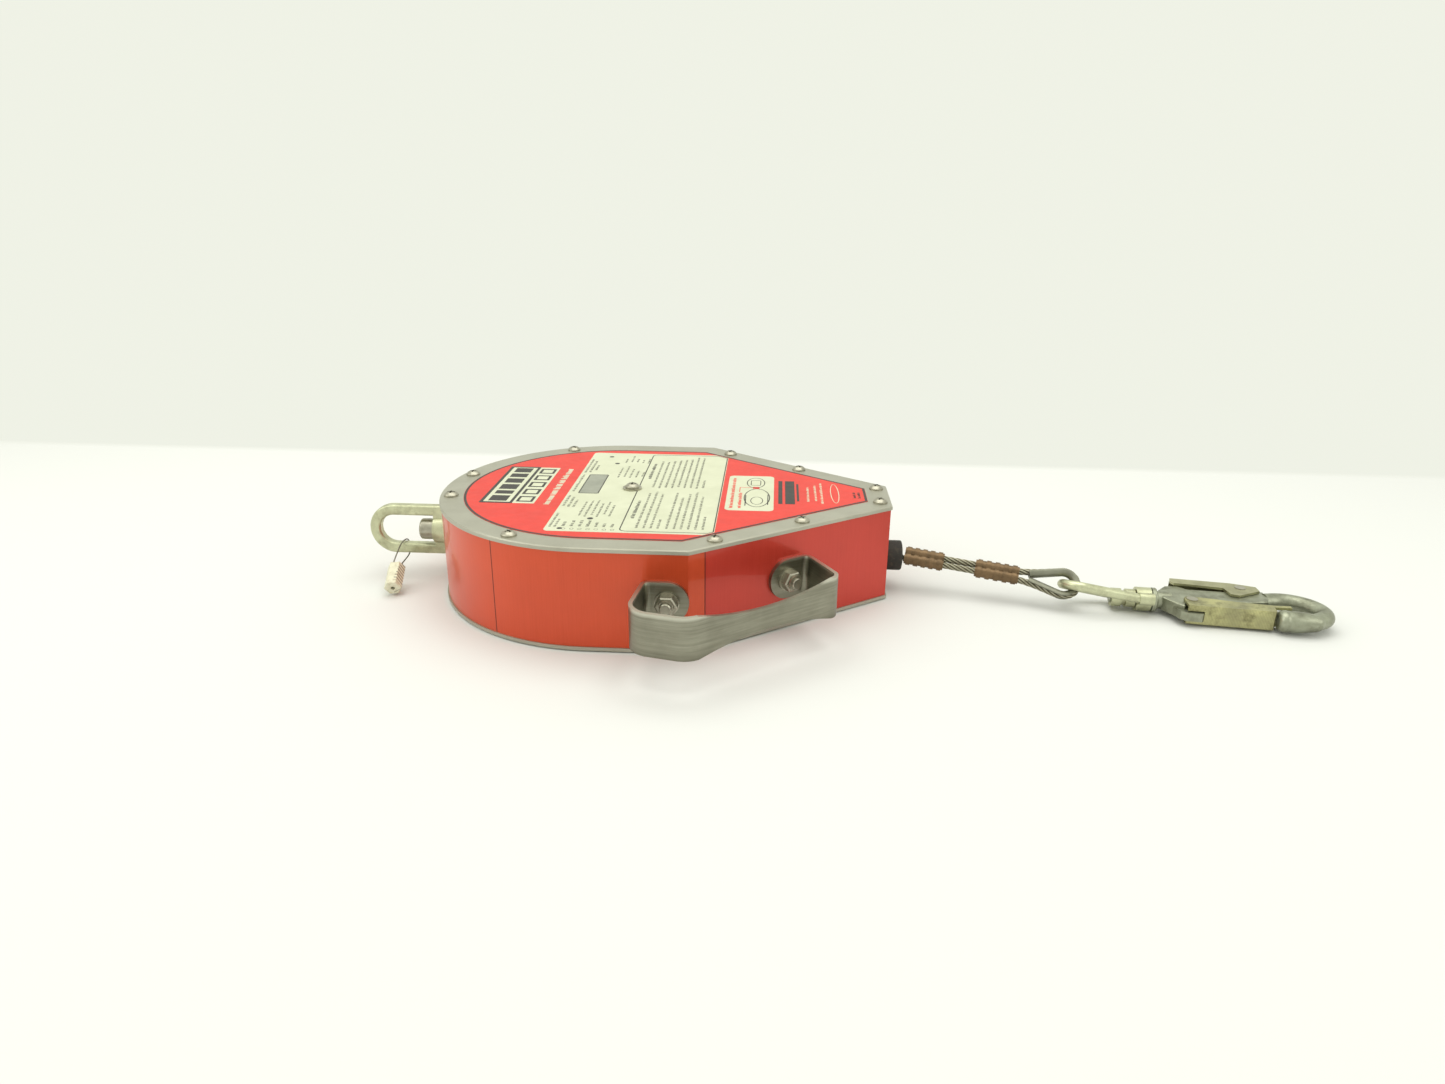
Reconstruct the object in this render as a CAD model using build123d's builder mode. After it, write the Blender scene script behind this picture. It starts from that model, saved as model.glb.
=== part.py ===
from build123d import *
from math import acos, atan2, cos, degrees, pi, radians, sin, sqrt, tan
import os

os.makedirs("parts", exist_ok=True)

# Self retracting lifeline, lying on its bottom plate.
# Frame: origin on the drum shaft axis at the outer face of the bottom plate,
# +X towards the rope outlet, +Z up. All values in millimetres.

# ---- housing ----
ROUND_R = 125.0            # radius of the round end
ROUND_X = -14.5            # centre of the round end
CORNER_X = 53.2            # where the straight side meets the taper
NOSE_X = 190.0             # flat nose
NOSE_HALF = 24.0           # half width of the nose
HEIGHT = 72.0              # outside to outside of the two plates
PLATE = 3.0
WALL = 3.0
OVERHANG = 1.0             # the plates stand out past the walls
SEAM_ANGLE = 59.5          # seams of the round end, either side of -X
SEAM_TAPER = 12.8          # second seam, measured along the taper
SEAM_GAP = 0.3
SCREW_INSET = 8.0
POST_R = 3.8
CAVITY_LOW = PLATE
CAVITY_TOP = HEIGHT - PLATE

# ---- rope and drum ----
ROPE_R = 2.4
ROPE_Z = 24.8
COILS_WIDE = 4
LAYERS = 8
LAYER_STEP = 4.3
HUB_R = 56.0
HUB_IN = 52.0
FLANGE_R = 100.0
WIND_R = HUB_R + ROPE_R + (LAYERS - 1) * LAYER_STEP     # pitch radius of the last layer
OUTLET_X = 195.5           # where the rope crosses the centre plane
MOUTH_X = 203.0
SHAFT_R = 8.0
RUN = 0.04                 # radial running clearance

# ---- rope end outside ----
ROPE_GAP = 2.6             # half spacing of the two ropes in the sleeves
END_PLAN = -13.5           # heading of the rope end
END_SLOPE = 4.2            # downhill angle of the rope end
END_LEAN = 43.0            # lift of the loop plane above the floor
SLEEVE_1 = (1.0, 29.6)
SLEEVE_2 = (52.6, 83.6)
LOOP_X = 114.6             # centre of the round end of the rope loop
LOOP_R = 10.0
EYE_WIRE = 3.4

# ---- bail and its bolt ----
SWIVEL_Z = 36.0
BAIL_X = -202.3
BAIL_H = 38.5
BAIL_BAR = 8.0
WEB_X = -152.2
WEB_END = -140.5

# ---- hook ----
HOOK_AT = (377.0, -30.2, 8.7)
HOOK_HEADING = -6.0
HOOK_T = 10.4              # thickness of the forged body
SKIN = 1.7                 # sheet of the gate and of the lock lever
GATE_PIN = (24.7, -11.4)
LEVER_PIN = (64.8, 16.2)

# ---- handle ----
STRIP = 2.6
HANDLE_Z = 37.0
HANDLE_W = 28.0
GRIP_W = 24.0

TAPER = atan2(ROUND_R - NOSE_HALF, NOSE_X - CORNER_X)
T_DIR = (cos(TAPER), -sin(TAPER))        # along the far taper, towards the nose
T_OUT = (sin(TAPER), cos(TAPER))         # outward from the far taper
T_C = T_OUT[0] * CORNER_X + T_OUT[1] * ROUND_R
LEAD = atan2(sqrt(OUTLET_X ** 2 - WIND_R ** 2), WIND_R) - pi / 2    # heading of the rope lead


def save(part, name):
    part.label = name
    export_step(part, "parts/" + name + ".step")


def taper_point(s, side, out=0.0):
    """A point s along a taper (side +1 far, -1 near), out from the plate edge."""
    x = CORNER_X + T_DIR[0] * s + T_OUT[0] * out
    y = ROUND_R + T_DIR[1] * s + T_OUT[1] * out
    return (x, side * y)


def outline(inset):
    """Plan of the housing, moved inward by inset."""
    r = ROUND_R - inset
    cx = (T_C - inset - T_OUT[1] * r) / T_OUT[0]
    nx = NOSE_X - inset
    ny = (T_C - inset - T_OUT[0] * nx) / T_OUT[1]
    with BuildSketch() as plan:
        with BuildLine():
            Line((ROUND_X, r), (cx, r))
            Line((cx, r), (nx, ny))
            Line((nx, ny), (nx, -ny))
            Line((nx, -ny), (cx, -r))
            Line((cx, -r), (ROUND_X, -r))
            ThreePointArc((ROUND_X, -r), (ROUND_X - r, 0), (ROUND_X, r))
        make_face()
    return plan.sketch


def screw_points():
    """The ten rim screws of one plate."""
    r = ROUND_R - SCREW_INSET
    pts = []
    for side in (1, -1):
        for a in (13.3, 64.4):
            t = radians(180 - a)
            pts.append((ROUND_X + r * cos(t), side * r * sin(t)))
        for s in (24.5, 94.8):
            pts.append(taper_point(s, side, -SCREW_INSET))
        pts.append((NOSE_X - 8.2, side * 16.4))
    return pts


RIM = screw_points()

# handle bolts: local +Z points out of the wall, local origin on its outer face
OUTWARD = Location((0, 0, 0), (90, 0, 0))
BOLT_A = (39.5, -ROUND_R)
B_SPOT = taper_point(77.0, -1, -OVERHANG)
A_FRAME = Location((BOLT_A[0], -ROUND_R + OVERHANG, HANDLE_Z)) * OUTWARD
B_FRAME = Location((B_SPOT[0], B_SPOT[1], HANDLE_Z), (0, 0, degrees(TAPER))) * OUTWARD


# ================= housing =================
def plate(name, low, csk):
    """Outer plate with broken edges; csk gives countersunk holes on its outer face."""
    outer = low if low < 1 else low + PLATE
    with BuildPart() as body:
        with BuildSketch(Plane.XY.offset(low)):
            add(outline(0))
        extrude(amount=PLATE)
        rim = body.faces().sort_by(Axis.Z)[0 if low < 1 else -1].outer_wire().edges()
        chamfer(rim, 0.7)
        with BuildSketch(Plane.XY.offset(low)):
            with Locations(*RIM):
                Circle(2.3)
            if not csk:
                Circle(3.3)
        extrude(amount=PLATE, mode=Mode.SUBTRACT)
        if csk:
            with Locations(*[Location((x, y, outer + 1.3)) for x, y in RIM]):
                Cone(4.9, 2.3, 2.6, mode=Mode.SUBTRACT)
    save(body.part, name)


plate("bottom_plate", 0.0, True)
plate("top_plate", HEIGHT - PLATE, False)


def wall(name, region, holes=()):
    """One length of the wall: the ring between two outlines, kept inside region."""
    with BuildPart() as body:
        with BuildSketch(Plane.XY.offset(CAVITY_LOW + 0.02)):
            add(outline(OVERHANG))
            add(outline(OVERHANG + WALL), mode=Mode.SUBTRACT)
            with BuildLine():
                Polyline(*region, close=True)
            make_face(mode=Mode.INTERSECT)
        extrude(amount=CAVITY_TOP - CAVITY_LOW - 0.04)
        for spot, radius in holes:
            with Locations(spot):
                Cylinder(radius, 30, mode=Mode.SUBTRACT)
    save(body.part, name)


def ray(angle, r):
    t = radians(angle)
    return (ROUND_X + r * cos(t), r * sin(t))


GAP_DEG = degrees(SEAM_GAP / 2 / ROUND_R)
REAR_EDGE = 180 - SEAM_ANGLE
BOLT_HOLE = Location((-140, 0, SWIVEL_Z), (0, 90, 0))
MOUTH_HOLE = Location((190, 0, 25.5), (0, 90, 0))
rear = [ray(REAR_EDGE + GAP_DEG, 60), ray(REAR_EDGE + GAP_DEG, 260)]
rear += [(-300, 200), (-300, -200)]
rear += [ray(-REAR_EDGE - GAP_DEG, 260), ray(-REAR_EDGE - GAP_DEG, 60)]
wall("rear_wall", rear, [(BOLT_HOLE, 5.6)])
for side, name in ((1, "side_wall_far"), (-1, "side_wall_near")):
    edge = REAR_EDGE - GAP_DEG
    flank = [ray(side * edge, 60), ray(side * edge, 200), (60, side * 250)]
    flank += [taper_point(SEAM_TAPER - SEAM_GAP / 2, side, 60)]
    flank += [taper_point(SEAM_TAPER - SEAM_GAP / 2, side, -30)]
    wall(name, flank, [(A_FRAME, 4.1)])
front = [taper_point(SEAM_TAPER + SEAM_GAP / 2, 1, -30)]
front += [taper_point(SEAM_TAPER + SEAM_GAP / 2, 1, 60)]
front += [(400, 165), (400, -165)]
front += [taper_point(SEAM_TAPER + SEAM_GAP / 2, -1, 60)]
front += [taper_point(SEAM_TAPER + SEAM_GAP / 2, -1, -30)]
wall("nose_wall", front, [(MOUTH_HOLE, 9.9), (B_FRAME, 4.1)])

with BuildPart() as posts:
    with BuildSketch(Plane.XY.offset(CAVITY_LOW + 0.02)):
        with Locations(*RIM):
            Circle(POST_R)
    extrude(amount=CAVITY_TOP - CAVITY_LOW - 0.04)
    with BuildSketch(Plane.XY.offset(CAVITY_LOW)):
        with Locations(*RIM):
            Circle(2.05)
    extrude(amount=9, mode=Mode.SUBTRACT)
    with BuildSketch(Plane.XY.offset(CAVITY_TOP - 9)):
        with Locations(*RIM):
            Circle(2.05)
    extrude(amount=9, mode=Mode.SUBTRACT)
save(posts.part, "screw_posts")


def cross_recess(size, depth, z):
    """Cutter for a cross driver recess from z down."""
    with BuildPart() as cut:
        with BuildSketch(Plane.XY.offset(z - depth)):
            Rectangle(size, size * 0.2)
            Rectangle(size * 0.2, size)
        extrude(amount=depth + 1)
    return cut.part


with BuildPart() as pan:
    with BuildSketch(Plane.XZ):
        with BuildLine():
            Polyline((0, 0.02), (5.2, 0.02), (5.2, 1.0))
            ThreePointArc((5.2, 1.0), (3.9, 2.3), (0, 2.9))
            Line((0, 2.9), (0, 0.02))
        make_face()
    revolve(axis=Axis.Z)
    add(cross_recess(5.6, 1.7, 2.9), mode=Mode.SUBTRACT)
    with Locations((0, 0, -4.5)):
        Cylinder(2.0, 9.08)
with BuildPart() as top_screws:
    for i, (x, y) in enumerate(RIM):
        with Locations(Location((x, y, HEIGHT), (0, 0, 37 * i))):
            add(pan.part)
save(top_screws.part, "top_screws")

with BuildPart() as flush:
    with Locations((0, 0, 1.35)):
        Cone(4.7, 2.1, 2.5)
    with Locations((0, 0, 6)):
        Cylinder(2.0, 10)
    with BuildSketch():
        Rectangle(5.0, 1.0)
        Rectangle(1.0, 5.0)
    extrude(amount=1.4, mode=Mode.SUBTRACT)
with BuildPart() as bottom_screws:
    for i, (x, y) in enumerate(RIM):
        with Locations(Location((x, y, 0), (0, 0, 23 * i))):
            add(flush.part)
save(bottom_screws.part, "bottom_screws")

with BuildPart() as centre_washer:
    with BuildSketch(Plane.XY.offset(HEIGHT + 0.3)):
        Circle(7.0)
        Circle(3.2, mode=Mode.SUBTRACT)
    extrude(amount=1.2)
save(centre_washer.part, "centre_washer")

with BuildPart() as centre_screw:
    with Locations((0, 0, HEIGHT + 1.55)):
        add(pan.part)
    with Locations((0, 0, HEIGHT - 6)):
        Cylinder(3.0, 15)
save(centre_screw.part, "centre_screw")

with BuildPart() as label:
    with BuildSketch(Plane.XY.offset(HEIGHT + 0.02)):
        add(outline(17.0))
        Circle(3.4, mode=Mode.SUBTRACT)
    extrude(amount=0.24)
save(label.part, "rating_label")


# ================= shaft, bracket, bail =================
with BuildPart() as shaft:
    with Locations((0, 0, HEIGHT / 2)):
        Cylinder(SHAFT_R, CAVITY_TOP - CAVITY_LOW - 0.2)
    with BuildSketch(Plane.XY.offset(CAVITY_TOP - 16)):
        Circle(3.05)
    extrude(amount=20, mode=Mode.SUBTRACT)
save(shaft.part, "main_shaft")

BRACKET_T = 4.0
BRACKET_X = -133.0
with BuildPart() as bracket:
    for z in (CAVITY_LOW + 0.4, CAVITY_TOP - 0.4 - BRACKET_T):
        with BuildSketch(Plane.XY.offset(z)):
            with Locations((BRACKET_X / 2, 0)):
                Rectangle(-BRACKET_X, 38)
            Circle(19)
            Circle(SHAFT_R + 0.03, mode=Mode.SUBTRACT)
        extrude(amount=BRACKET_T)
    with Locations((BRACKET_X + BRACKET_T / 2, 0, HEIGHT / 2)):
        Box(BRACKET_T, 38, CAVITY_TOP - CAVITY_LOW - 0.8)
    with Locations(BOLT_HOLE):
        Cylinder(5.1, 40, mode=Mode.SUBTRACT)
save(bracket.part, "anchor_bracket")

with BuildPart() as swivel_bolt:
    with BuildSketch(Plane.YZ.offset(-163.0)):
        with Locations((0, SWIVEL_Z)):
            Circle(8.0)
    extrude(amount=10.6)
    fillet(swivel_bolt.edges().filter_by(GeomType.CIRCLE).sort_by(Axis.X)[0], 1.6)
    with BuildSketch(Plane.YZ.offset(-152.5)):
        with Locations((0, SWIVEL_Z)):
            Circle(5.0)
    extrude(amount=34.5)
save(swivel_bolt.part, "swivel_bolt")

with BuildPart() as swivel_nut:
    with BuildSketch(Plane.YZ.offset(-128.9)):
        with Locations((0, SWIVEL_Z)):
            RegularPolygon(8.5, 6, major_radius=False)
            Circle(5.05, mode=Mode.SUBTRACT)
    extrude(amount=8.5)
save(swivel_nut.part, "swivel_nut")

with BuildPart() as swivel_washer:
    with BuildSketch(Plane.YZ.offset(-140.2)):
        with Locations((0, SWIVEL_Z)):
            Circle(9.0)
            Circle(5.1, mode=Mode.SUBTRACT)
    extrude(amount=1.6)
save(swivel_washer.part, "swivel_washer")

with BuildPart() as bail:
    half = BAIL_H / 2
    bow = BAIL_X + half
    with BuildSketch(Plane.XZ.offset(-BAIL_BAR / 2)):
        with Locations(((bow + WEB_END) / 2, SWIVEL_Z)):
            Rectangle(WEB_END - bow, BAIL_H)
        with Locations((bow, SWIVEL_Z)):
            Circle(half)
        with Locations(((bow + WEB_X) / 2, SWIVEL_Z)):
            Rectangle(WEB_X - bow, BAIL_H - 2 * BAIL_BAR, mode=Mode.SUBTRACT)
        with Locations((bow, SWIVEL_Z)):
            Circle(half - BAIL_BAR, mode=Mode.SUBTRACT)
    extrude(amount=BAIL_BAR)
    fillet(bail.edges().filter_by(Axis.X).filter_by_position(Axis.X, -184, -146), 2.0)
    with BuildSketch(Plane.YZ.offset(WEB_X + 0.3)):
        with Locations((0, SWIVEL_Z)):
            Circle(10.5)
    extrude(amount=WEB_END - WEB_X - 0.3)
    with BuildSketch(Plane.YZ.offset(WEB_X - 2)):
        with Locations((0, SWIVEL_Z)):
            Circle(5.0 + RUN + 0.03)
    extrude(amount=20, mode=Mode.SUBTRACT)
save(bail.part, "bail")


# ================= inspection tag on its wire =================
WIRE_R = 0.5
TAG_X = -177.0
TAG_AXIS = Vector(0.18, -0.92, -0.345).normalized()
TAG_TOP = Vector(TAG_X + 2.0, -27.0, 14.2)
with BuildPart() as tag:
    with BuildSketch(Plane(TAG_TOP, x_dir=(1, 0, 0), z_dir=TAG_AXIS)):
        RegularPolygon(6.4, 6)
    extrude(amount=22.7)
    fillet(tag.faces().sort_by(Axis.Y)[0].edges(), 0.8)
    with BuildSketch(Plane(TAG_TOP + TAG_AXIS * 25, x_dir=(1, 0, 0), z_dir=TAG_AXIS)):
        Circle(1.6)
    extrude(amount=-12, mode=Mode.SUBTRACT)
save(tag.part, "tag_barrel")

wire_pts = [(TAG_X - 1.2, -27.9, 15.2), (TAG_X - 1.2, -14.0, 22.6), (TAG_X - 1.0, -4.0, 26.6)]
wire_pts += [(TAG_X, 6.4, 25.6), (TAG_X + 1.0, 6.6, 15.8)]
wire_pts += [(TAG_X + 2.4, -3.6, 14.6), (TAG_X + 3.2, -14.0, 14.9), (TAG_X + 3.2, -26.4, 13.6)]
with BuildPart() as wire:
    with BuildLine() as wire_path:
        FilletPolyline(*wire_pts, radius=[8.0, 8.0, 3.0, 3.0, 8.0, 8.0])
    with BuildSketch(Plane(wire_path.wires()[0] @ 0, z_dir=wire_path.wires()[0] % 0)):
        Circle(WIRE_R)
    sweep()
save(wire.part, "tag_wire")
wire_len = wire_path.wires()[0].length
print("tag wire radius", WIRE_R, "length", round(wire_len, 1))
print("tag wire volume ratio", round(wire.part.volume / (pi * WIRE_R ** 2 * wire_len), 3))


# ================= handle =================
PAD = STRIP / 2 - OVERHANG + 0.03
P1 = (24.5, -ROUND_R - PAD)
P0 = (BOLT_A[0] + HANDLE_W / 2, P1[1])
P2 = (20.0, -169.5)
P3 = (57.5, -178.5)
P4 = (149.0, -106.0)
P5 = taper_point(94.0, -1, PAD)
P6 = taper_point(77.0 - HANDLE_W / 2, -1, PAD)
GRIP_ANGLE = degrees(atan2(P4[1] - P3[1], P4[0] - P3[0]))


def end_cut(frame, toward):
    """Cutter that rounds a flange end about its bolt."""
    with BuildPart() as cut:
        with BuildSketch(Plane(frame)):
            with Locations((toward * 15, 0)):
                Rectangle(30, HANDLE_W + 8)
            Circle(HANDLE_W / 2, mode=Mode.SUBTRACT)
        extrude(amount=8, both=True)
    return cut.part


def grip_trim(side):
    """Cutter that narrows the strip along the grip, with a slope at each end."""
    edge = side * GRIP_W / 2
    rim = side * (HANDLE_W / 2 + 0.5)
    with BuildPart() as cut:
        with BuildSketch(Plane.XZ):
            with BuildLine():
                Spline((-54, rim), (-43, edge), (43, edge), (54, rim),
                       tangents=[(1, -0.2 * side), (1, 0.2 * side)])
                Line((54, rim), (54, side * 20))
                Line((54, side * 20), (-54, side * 20))
                Line((-54, side * 20), (-54, rim))
            make_face()
        extrude(amount=8, both=True)
    return cut.part


with BuildPart() as handle:
    with BuildSketch(Plane.XY.offset(HANDLE_Z - HANDLE_W / 2)):
        with BuildLine() as strip_line:
            FilletPolyline(P0, P1, P2, P3, P4, P5, P6, radius=[5.0, 15.0, 15.0, 8.0, 5.0])
        trace(line_width=STRIP)
    extrude(amount=HANDLE_W)
    add(end_cut(A_FRAME, 1), mode=Mode.SUBTRACT)
    add(end_cut(B_FRAME, -1), mode=Mode.SUBTRACT)
    grip_mid = Location(((P3[0] + P4[0]) / 2, (P3[1] + P4[1]) / 2, HANDLE_Z), (0, 0, GRIP_ANGLE))
    for side in (1, -1):
        add(grip_trim(side).moved(grip_mid), mode=Mode.SUBTRACT)
    for frame in (A_FRAME, B_FRAME):
        with Locations(frame):
            Cylinder(4.1, 12, mode=Mode.SUBTRACT)
save(handle.part, "handle")


def at_bolts(shape):
    """The same piece at both handle bolts, its +Z pointing out of the wall."""
    with BuildPart() as pair:
        for frame in (A_FRAME, B_FRAME):
            with Locations(frame):
                add(shape)
    return pair.part


SEAT = STRIP + 0.05
with BuildPart() as one_washer:
    with BuildSketch(Plane.XY.offset(SEAT)):
        Circle(8.0)
        Circle(4.1, mode=Mode.SUBTRACT)
    extrude(amount=1.5)
save(at_bolts(one_washer.part), "handle_washers")
with BuildPart() as one_nut:
    with BuildSketch(Plane.XY.offset(SEAT + 1.55)):
        RegularPolygon(6.4, 6, major_radius=False)
    extrude(amount=6.0)
    chamfer(one_nut.faces().sort_by(Axis.Z)[-1].edges(), 0.8)
    with BuildSketch(Plane.XY.offset(SEAT + 7.5)):
        Circle(5.2)
    extrude(amount=1.8)
    with BuildSketch(Plane.XY):
        Circle(3.98)
    extrude(amount=20, mode=Mode.SUBTRACT)
save(at_bolts(one_nut.part), "handle_nuts")
with BuildPart() as one_bolt:
    with BuildSketch(Plane.XY.offset(-6.4)):
        RegularPolygon(6.4, 6, major_radius=False)
    extrude(amount=3.3)
    with BuildSketch(Plane.XY.offset(-3.2)):
        Circle(3.93)
    extrude(amount=SEAT + 14.4)
    chamfer(one_bolt.faces().sort_by(Axis.Z)[-1].edges(), 0.6)
save(at_bolts(one_bolt.part), "handle_bolts")


# ================= drum and spring =================
BAND_H = COILS_WIDE * (2 * ROPE_R + 0.1)
BAND_LOW = ROPE_Z - BAND_H / 2
LOW_FLANGE = BAND_LOW - 0.5 - 2.8
UP_FLANGE = BAND_LOW + BAND_H + 0.5
DRUM_TOP = UP_FLANGE + 2.8
with BuildPart() as drum:
    with BuildSketch(Plane.XY.offset(LOW_FLANGE)):
        Circle(FLANGE_R)
    extrude(amount=2.8)
    with BuildSketch(Plane.XY.offset(LOW_FLANGE)):
        Circle(HUB_R)
        Circle(HUB_IN, mode=Mode.SUBTRACT)
    extrude(amount=UP_FLANGE - LOW_FLANGE - 0.02)
    with BuildSketch(Plane.XY.offset(LOW_FLANGE - 3.2)):
        Circle(14.0)
    extrude(amount=3.2)
    with BuildSketch(Plane.XY.offset(LOW_FLANGE - 4)):
        Circle(10.2)
    extrude(amount=10, mode=Mode.SUBTRACT)
    with BuildSketch(Plane.XY.offset(LOW_FLANGE)):
        with PolarLocations(78, 8):
            Circle(9)
    extrude(amount=2.8, mode=Mode.SUBTRACT)
save(drum.part, "drum")

with BuildPart() as upper_flange:
    with BuildSketch(Plane.XY.offset(UP_FLANGE)):
        Circle(FLANGE_R)
        Circle(HUB_IN, mode=Mode.SUBTRACT)
    extrude(amount=2.8)
save(upper_flange.part, "upper_flange")

with BuildPart() as wound:
    with BuildSketch(Plane.XZ):
        with BuildLine():
            x0 = HUB_R + 0.05
            x1 = WIND_R
            Polyline((x1, BAND_LOW), (x0, BAND_LOW), (x0, BAND_LOW + BAND_H), (x1, BAND_LOW + BAND_H))
            for k in range(COILS_WIDE):
                z = BAND_LOW + BAND_H - k * BAND_H / COILS_WIDE
                low = z - BAND_H / COILS_WIDE
                ThreePointArc((x1, z), (x1 + ROPE_R, (z + low) / 2), (x1, low))
        make_face()
    revolve(axis=Axis.Z)
save(wound.part, "wound_rope")

with BuildPart() as bush_low:
    with BuildSketch(Plane.XY.offset(LOW_FLANGE - 3.4)):
        Circle(10.15)
        Circle(SHAFT_R + RUN, mode=Mode.SUBTRACT)
    extrude(amount=6.2)
save(bush_low.part, "drum_bush_lower")

COVER_Z = DRUM_TOP + 0.1
with BuildPart() as cover:
    with BuildSketch(Plane.XY.offset(COVER_Z)):
        Circle(62)
        Circle(10.2, mode=Mode.SUBTRACT)
        with PolarLocations(57, 6):
            Circle(2.1, mode=Mode.SUBTRACT)
    extrude(amount=2.0)
save(cover.part, "spring_cover")

with BuildPart() as cover_screws:
    with BuildSketch(Plane.XY.offset(COVER_Z + 2.05)):
        with PolarLocations(57, 6):
            Circle(3.4)
    extrude(amount=1.6)
    with BuildSketch(Plane.XY.offset(COVER_Z + 0.1)):
        with PolarLocations(57, 6):
            Circle(2.0)
    extrude(amount=2.2)
save(cover_screws.part, "cover_screws")

with BuildPart() as bush_high:
    with BuildSketch(Plane.XY.offset(COVER_Z - 2.4)):
        Circle(10.15)
        Circle(SHAFT_R + RUN, mode=Mode.SUBTRACT)
    extrude(amount=4.6)
save(bush_high.part, "drum_bush_upper")

SPRING_LOW = LOW_FLANGE + 3.4
SPRING_H = UP_FLANGE - SPRING_LOW - 0.6
with BuildPart() as arbor:
    with BuildSketch(Plane.XY.offset(SPRING_LOW)):
        Circle(13.5)
        Circle(SHAFT_R + 0.03, mode=Mode.SUBTRACT)
    extrude(amount=SPRING_H)
save(arbor.part, "spring_arbor")

SPRING_TURNS = 7
SPRING_T = 1.3
spring_in = 15.2
spring_step = (HUB_IN - 1.4 - spring_in) / SPRING_TURNS
turn_pts = []
for i in range(SPRING_TURNS * 12 + 1):
    a = 2 * pi * i / 12
    r = spring_in + spring_step * i / 12
    turn_pts.append((r * cos(a), r * sin(a)))
with BuildPart() as spring:
    with BuildSketch(Plane.XY.offset(SPRING_LOW + 0.5)):
        with BuildLine() as coil:
            Spline(*turn_pts)
            outer_pts = []
            for i in range(SPRING_TURNS * 12 + 1):
                a = 2 * pi * i / 12
                r = spring_in + SPRING_T + spring_step * i / 12
                outer_pts.append((r * cos(a), r * sin(a)))
            Spline(*outer_pts)
            Line(turn_pts[0], outer_pts[0])
            Line(turn_pts[-1], outer_pts[-1])
        make_face()
    extrude(amount=SPRING_H - 1.0)
save(spring.part, "power_spring")


# ================= centrifugal brake =================
BRAKE_R = 41.0
TEETH = 12
TOOTH_TIP = 54.0
TOOTH_ROOT = 47.5
HUB_Z = COVER_Z + 4.0
DISC_Z = HUB_Z + 3.1
WHEEL_Z = DISC_Z + 1.9
WHEEL_T = 4.5
with BuildPart() as brake_hub:
    with BuildSketch(Plane.XY.offset(HUB_Z)):
        Circle(BRAKE_R)
    extrude(amount=3.0)
    with BuildSketch(Plane.XY.offset(HUB_Z + 3.0)):
        Circle(13.0)
    extrude(amount=14.0)
    with BuildSketch(Plane.XY.offset(HUB_Z - 1)):
        Circle(SHAFT_R + 0.03)
        with PolarLocations(19.0, 3):
            Circle(2.55)
    extrude(amount=20, mode=Mode.SUBTRACT)
save(brake_hub.part, "brake_hub")


def friction_disc(name, low):
    with BuildPart() as disc:
        with BuildSketch(Plane.XY.offset(low)):
            Circle(40.0)
            Circle(24.0, mode=Mode.SUBTRACT)
        extrude(amount=1.7)
    save(disc.part, name)


friction_disc("friction_disc_lower", DISC_Z)
friction_disc("friction_disc_upper", WHEEL_Z + WHEEL_T + 0.1)

with BuildPart() as wheel:
    with BuildSketch(Plane.XY.offset(WHEEL_Z)):
        with BuildLine():
            rim_pts = []
            for i in range(TEETH):
                a = 2 * pi * i / TEETH
                b = a + 2 * pi / TEETH * 0.9
                rim_pts.append((TOOTH_TIP * cos(a), TOOTH_TIP * sin(a)))
                rim_pts.append((TOOTH_ROOT * cos(b), TOOTH_ROOT * sin(b)))
            Polyline(*rim_pts, close=True)
        make_face()
        Circle(24.5, mode=Mode.SUBTRACT)
    extrude(amount=WHEEL_T)
save(wheel.part, "ratchet_wheel")

PRESS_Z = WHEEL_Z + WHEEL_T + 1.9
with BuildPart() as press:
    with BuildSketch(Plane.XY.offset(PRESS_Z)):
        Circle(BRAKE_R)
        Circle(13.3, mode=Mode.SUBTRACT)
        with PolarLocations(19.0, 3):
            Circle(2.6, mode=Mode.SUBTRACT)
    extrude(amount=3.0)
save(press.part, "pressure_plate")

with BuildPart() as brake_studs:
    with BuildSketch(Plane.XY.offset(HUB_Z + 0.1)):
        with PolarLocations(19.0, 3):
            Circle(2.5)
    extrude(amount=PRESS_Z + 9.0 - HUB_Z)
save(brake_studs.part, "brake_studs")

with BuildPart() as brake_nuts:
    with BuildSketch(Plane.XY.offset(PRESS_Z + 3.05)):
        with PolarLocations(19.0, 3):
            RegularPolygon(4.0, 6, major_radius=False)
            Circle(2.53, mode=Mode.SUBTRACT)
    extrude(amount=4.2)
save(brake_nuts.part, "brake_nuts")

PAWL_PIN = 80.0
with BuildPart() as pawl_shape:
    with BuildSketch(Plane.XY.offset(WHEEL_Z + 0.1)):
        with Locations((PAWL_PIN, 0)):
            Circle(7.0)
        with BuildLine():
            Polyline((86.0, 3.5), (75.5, 24.5), (60.0, 25.5), (62.5, 20.5), (73.2, -1.5), close=True)
        make_face()
        with BuildLine():
            Polyline((74.0, -3.0), (78.0, -19.0), (87.0, -17.5), (86.5, 2.5), close=True)
        make_face()
        with Locations((PAWL_PIN, 0)):
            Circle(3.0 + RUN, mode=Mode.SUBTRACT)
    extrude(amount=WHEEL_T - 0.2)
save(pawl_shape.part, "pawl_a")
with BuildPart() as pawl_b:
    with Locations(Location((0, 0, 0), (0, 0, 180))):
        add(pawl_shape.part)
save(pawl_b.part, "pawl_b")

with BuildPart() as pins:
    with BuildSketch(Plane.XY.offset(DRUM_TOP + 0.02)):
        with PolarLocations(PAWL_PIN, 2):
            Circle(3.0)
    extrude(amount=WHEEL_Z + WHEEL_T + 1.2 - DRUM_TOP)
    with BuildSketch(Plane.XY.offset(DRUM_TOP + 0.02)):
        with PolarLocations(PAWL_PIN, 2):
            Circle(5.5)
    extrude(amount=1.5)
save(pins.part, "pawl_pins")

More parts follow.
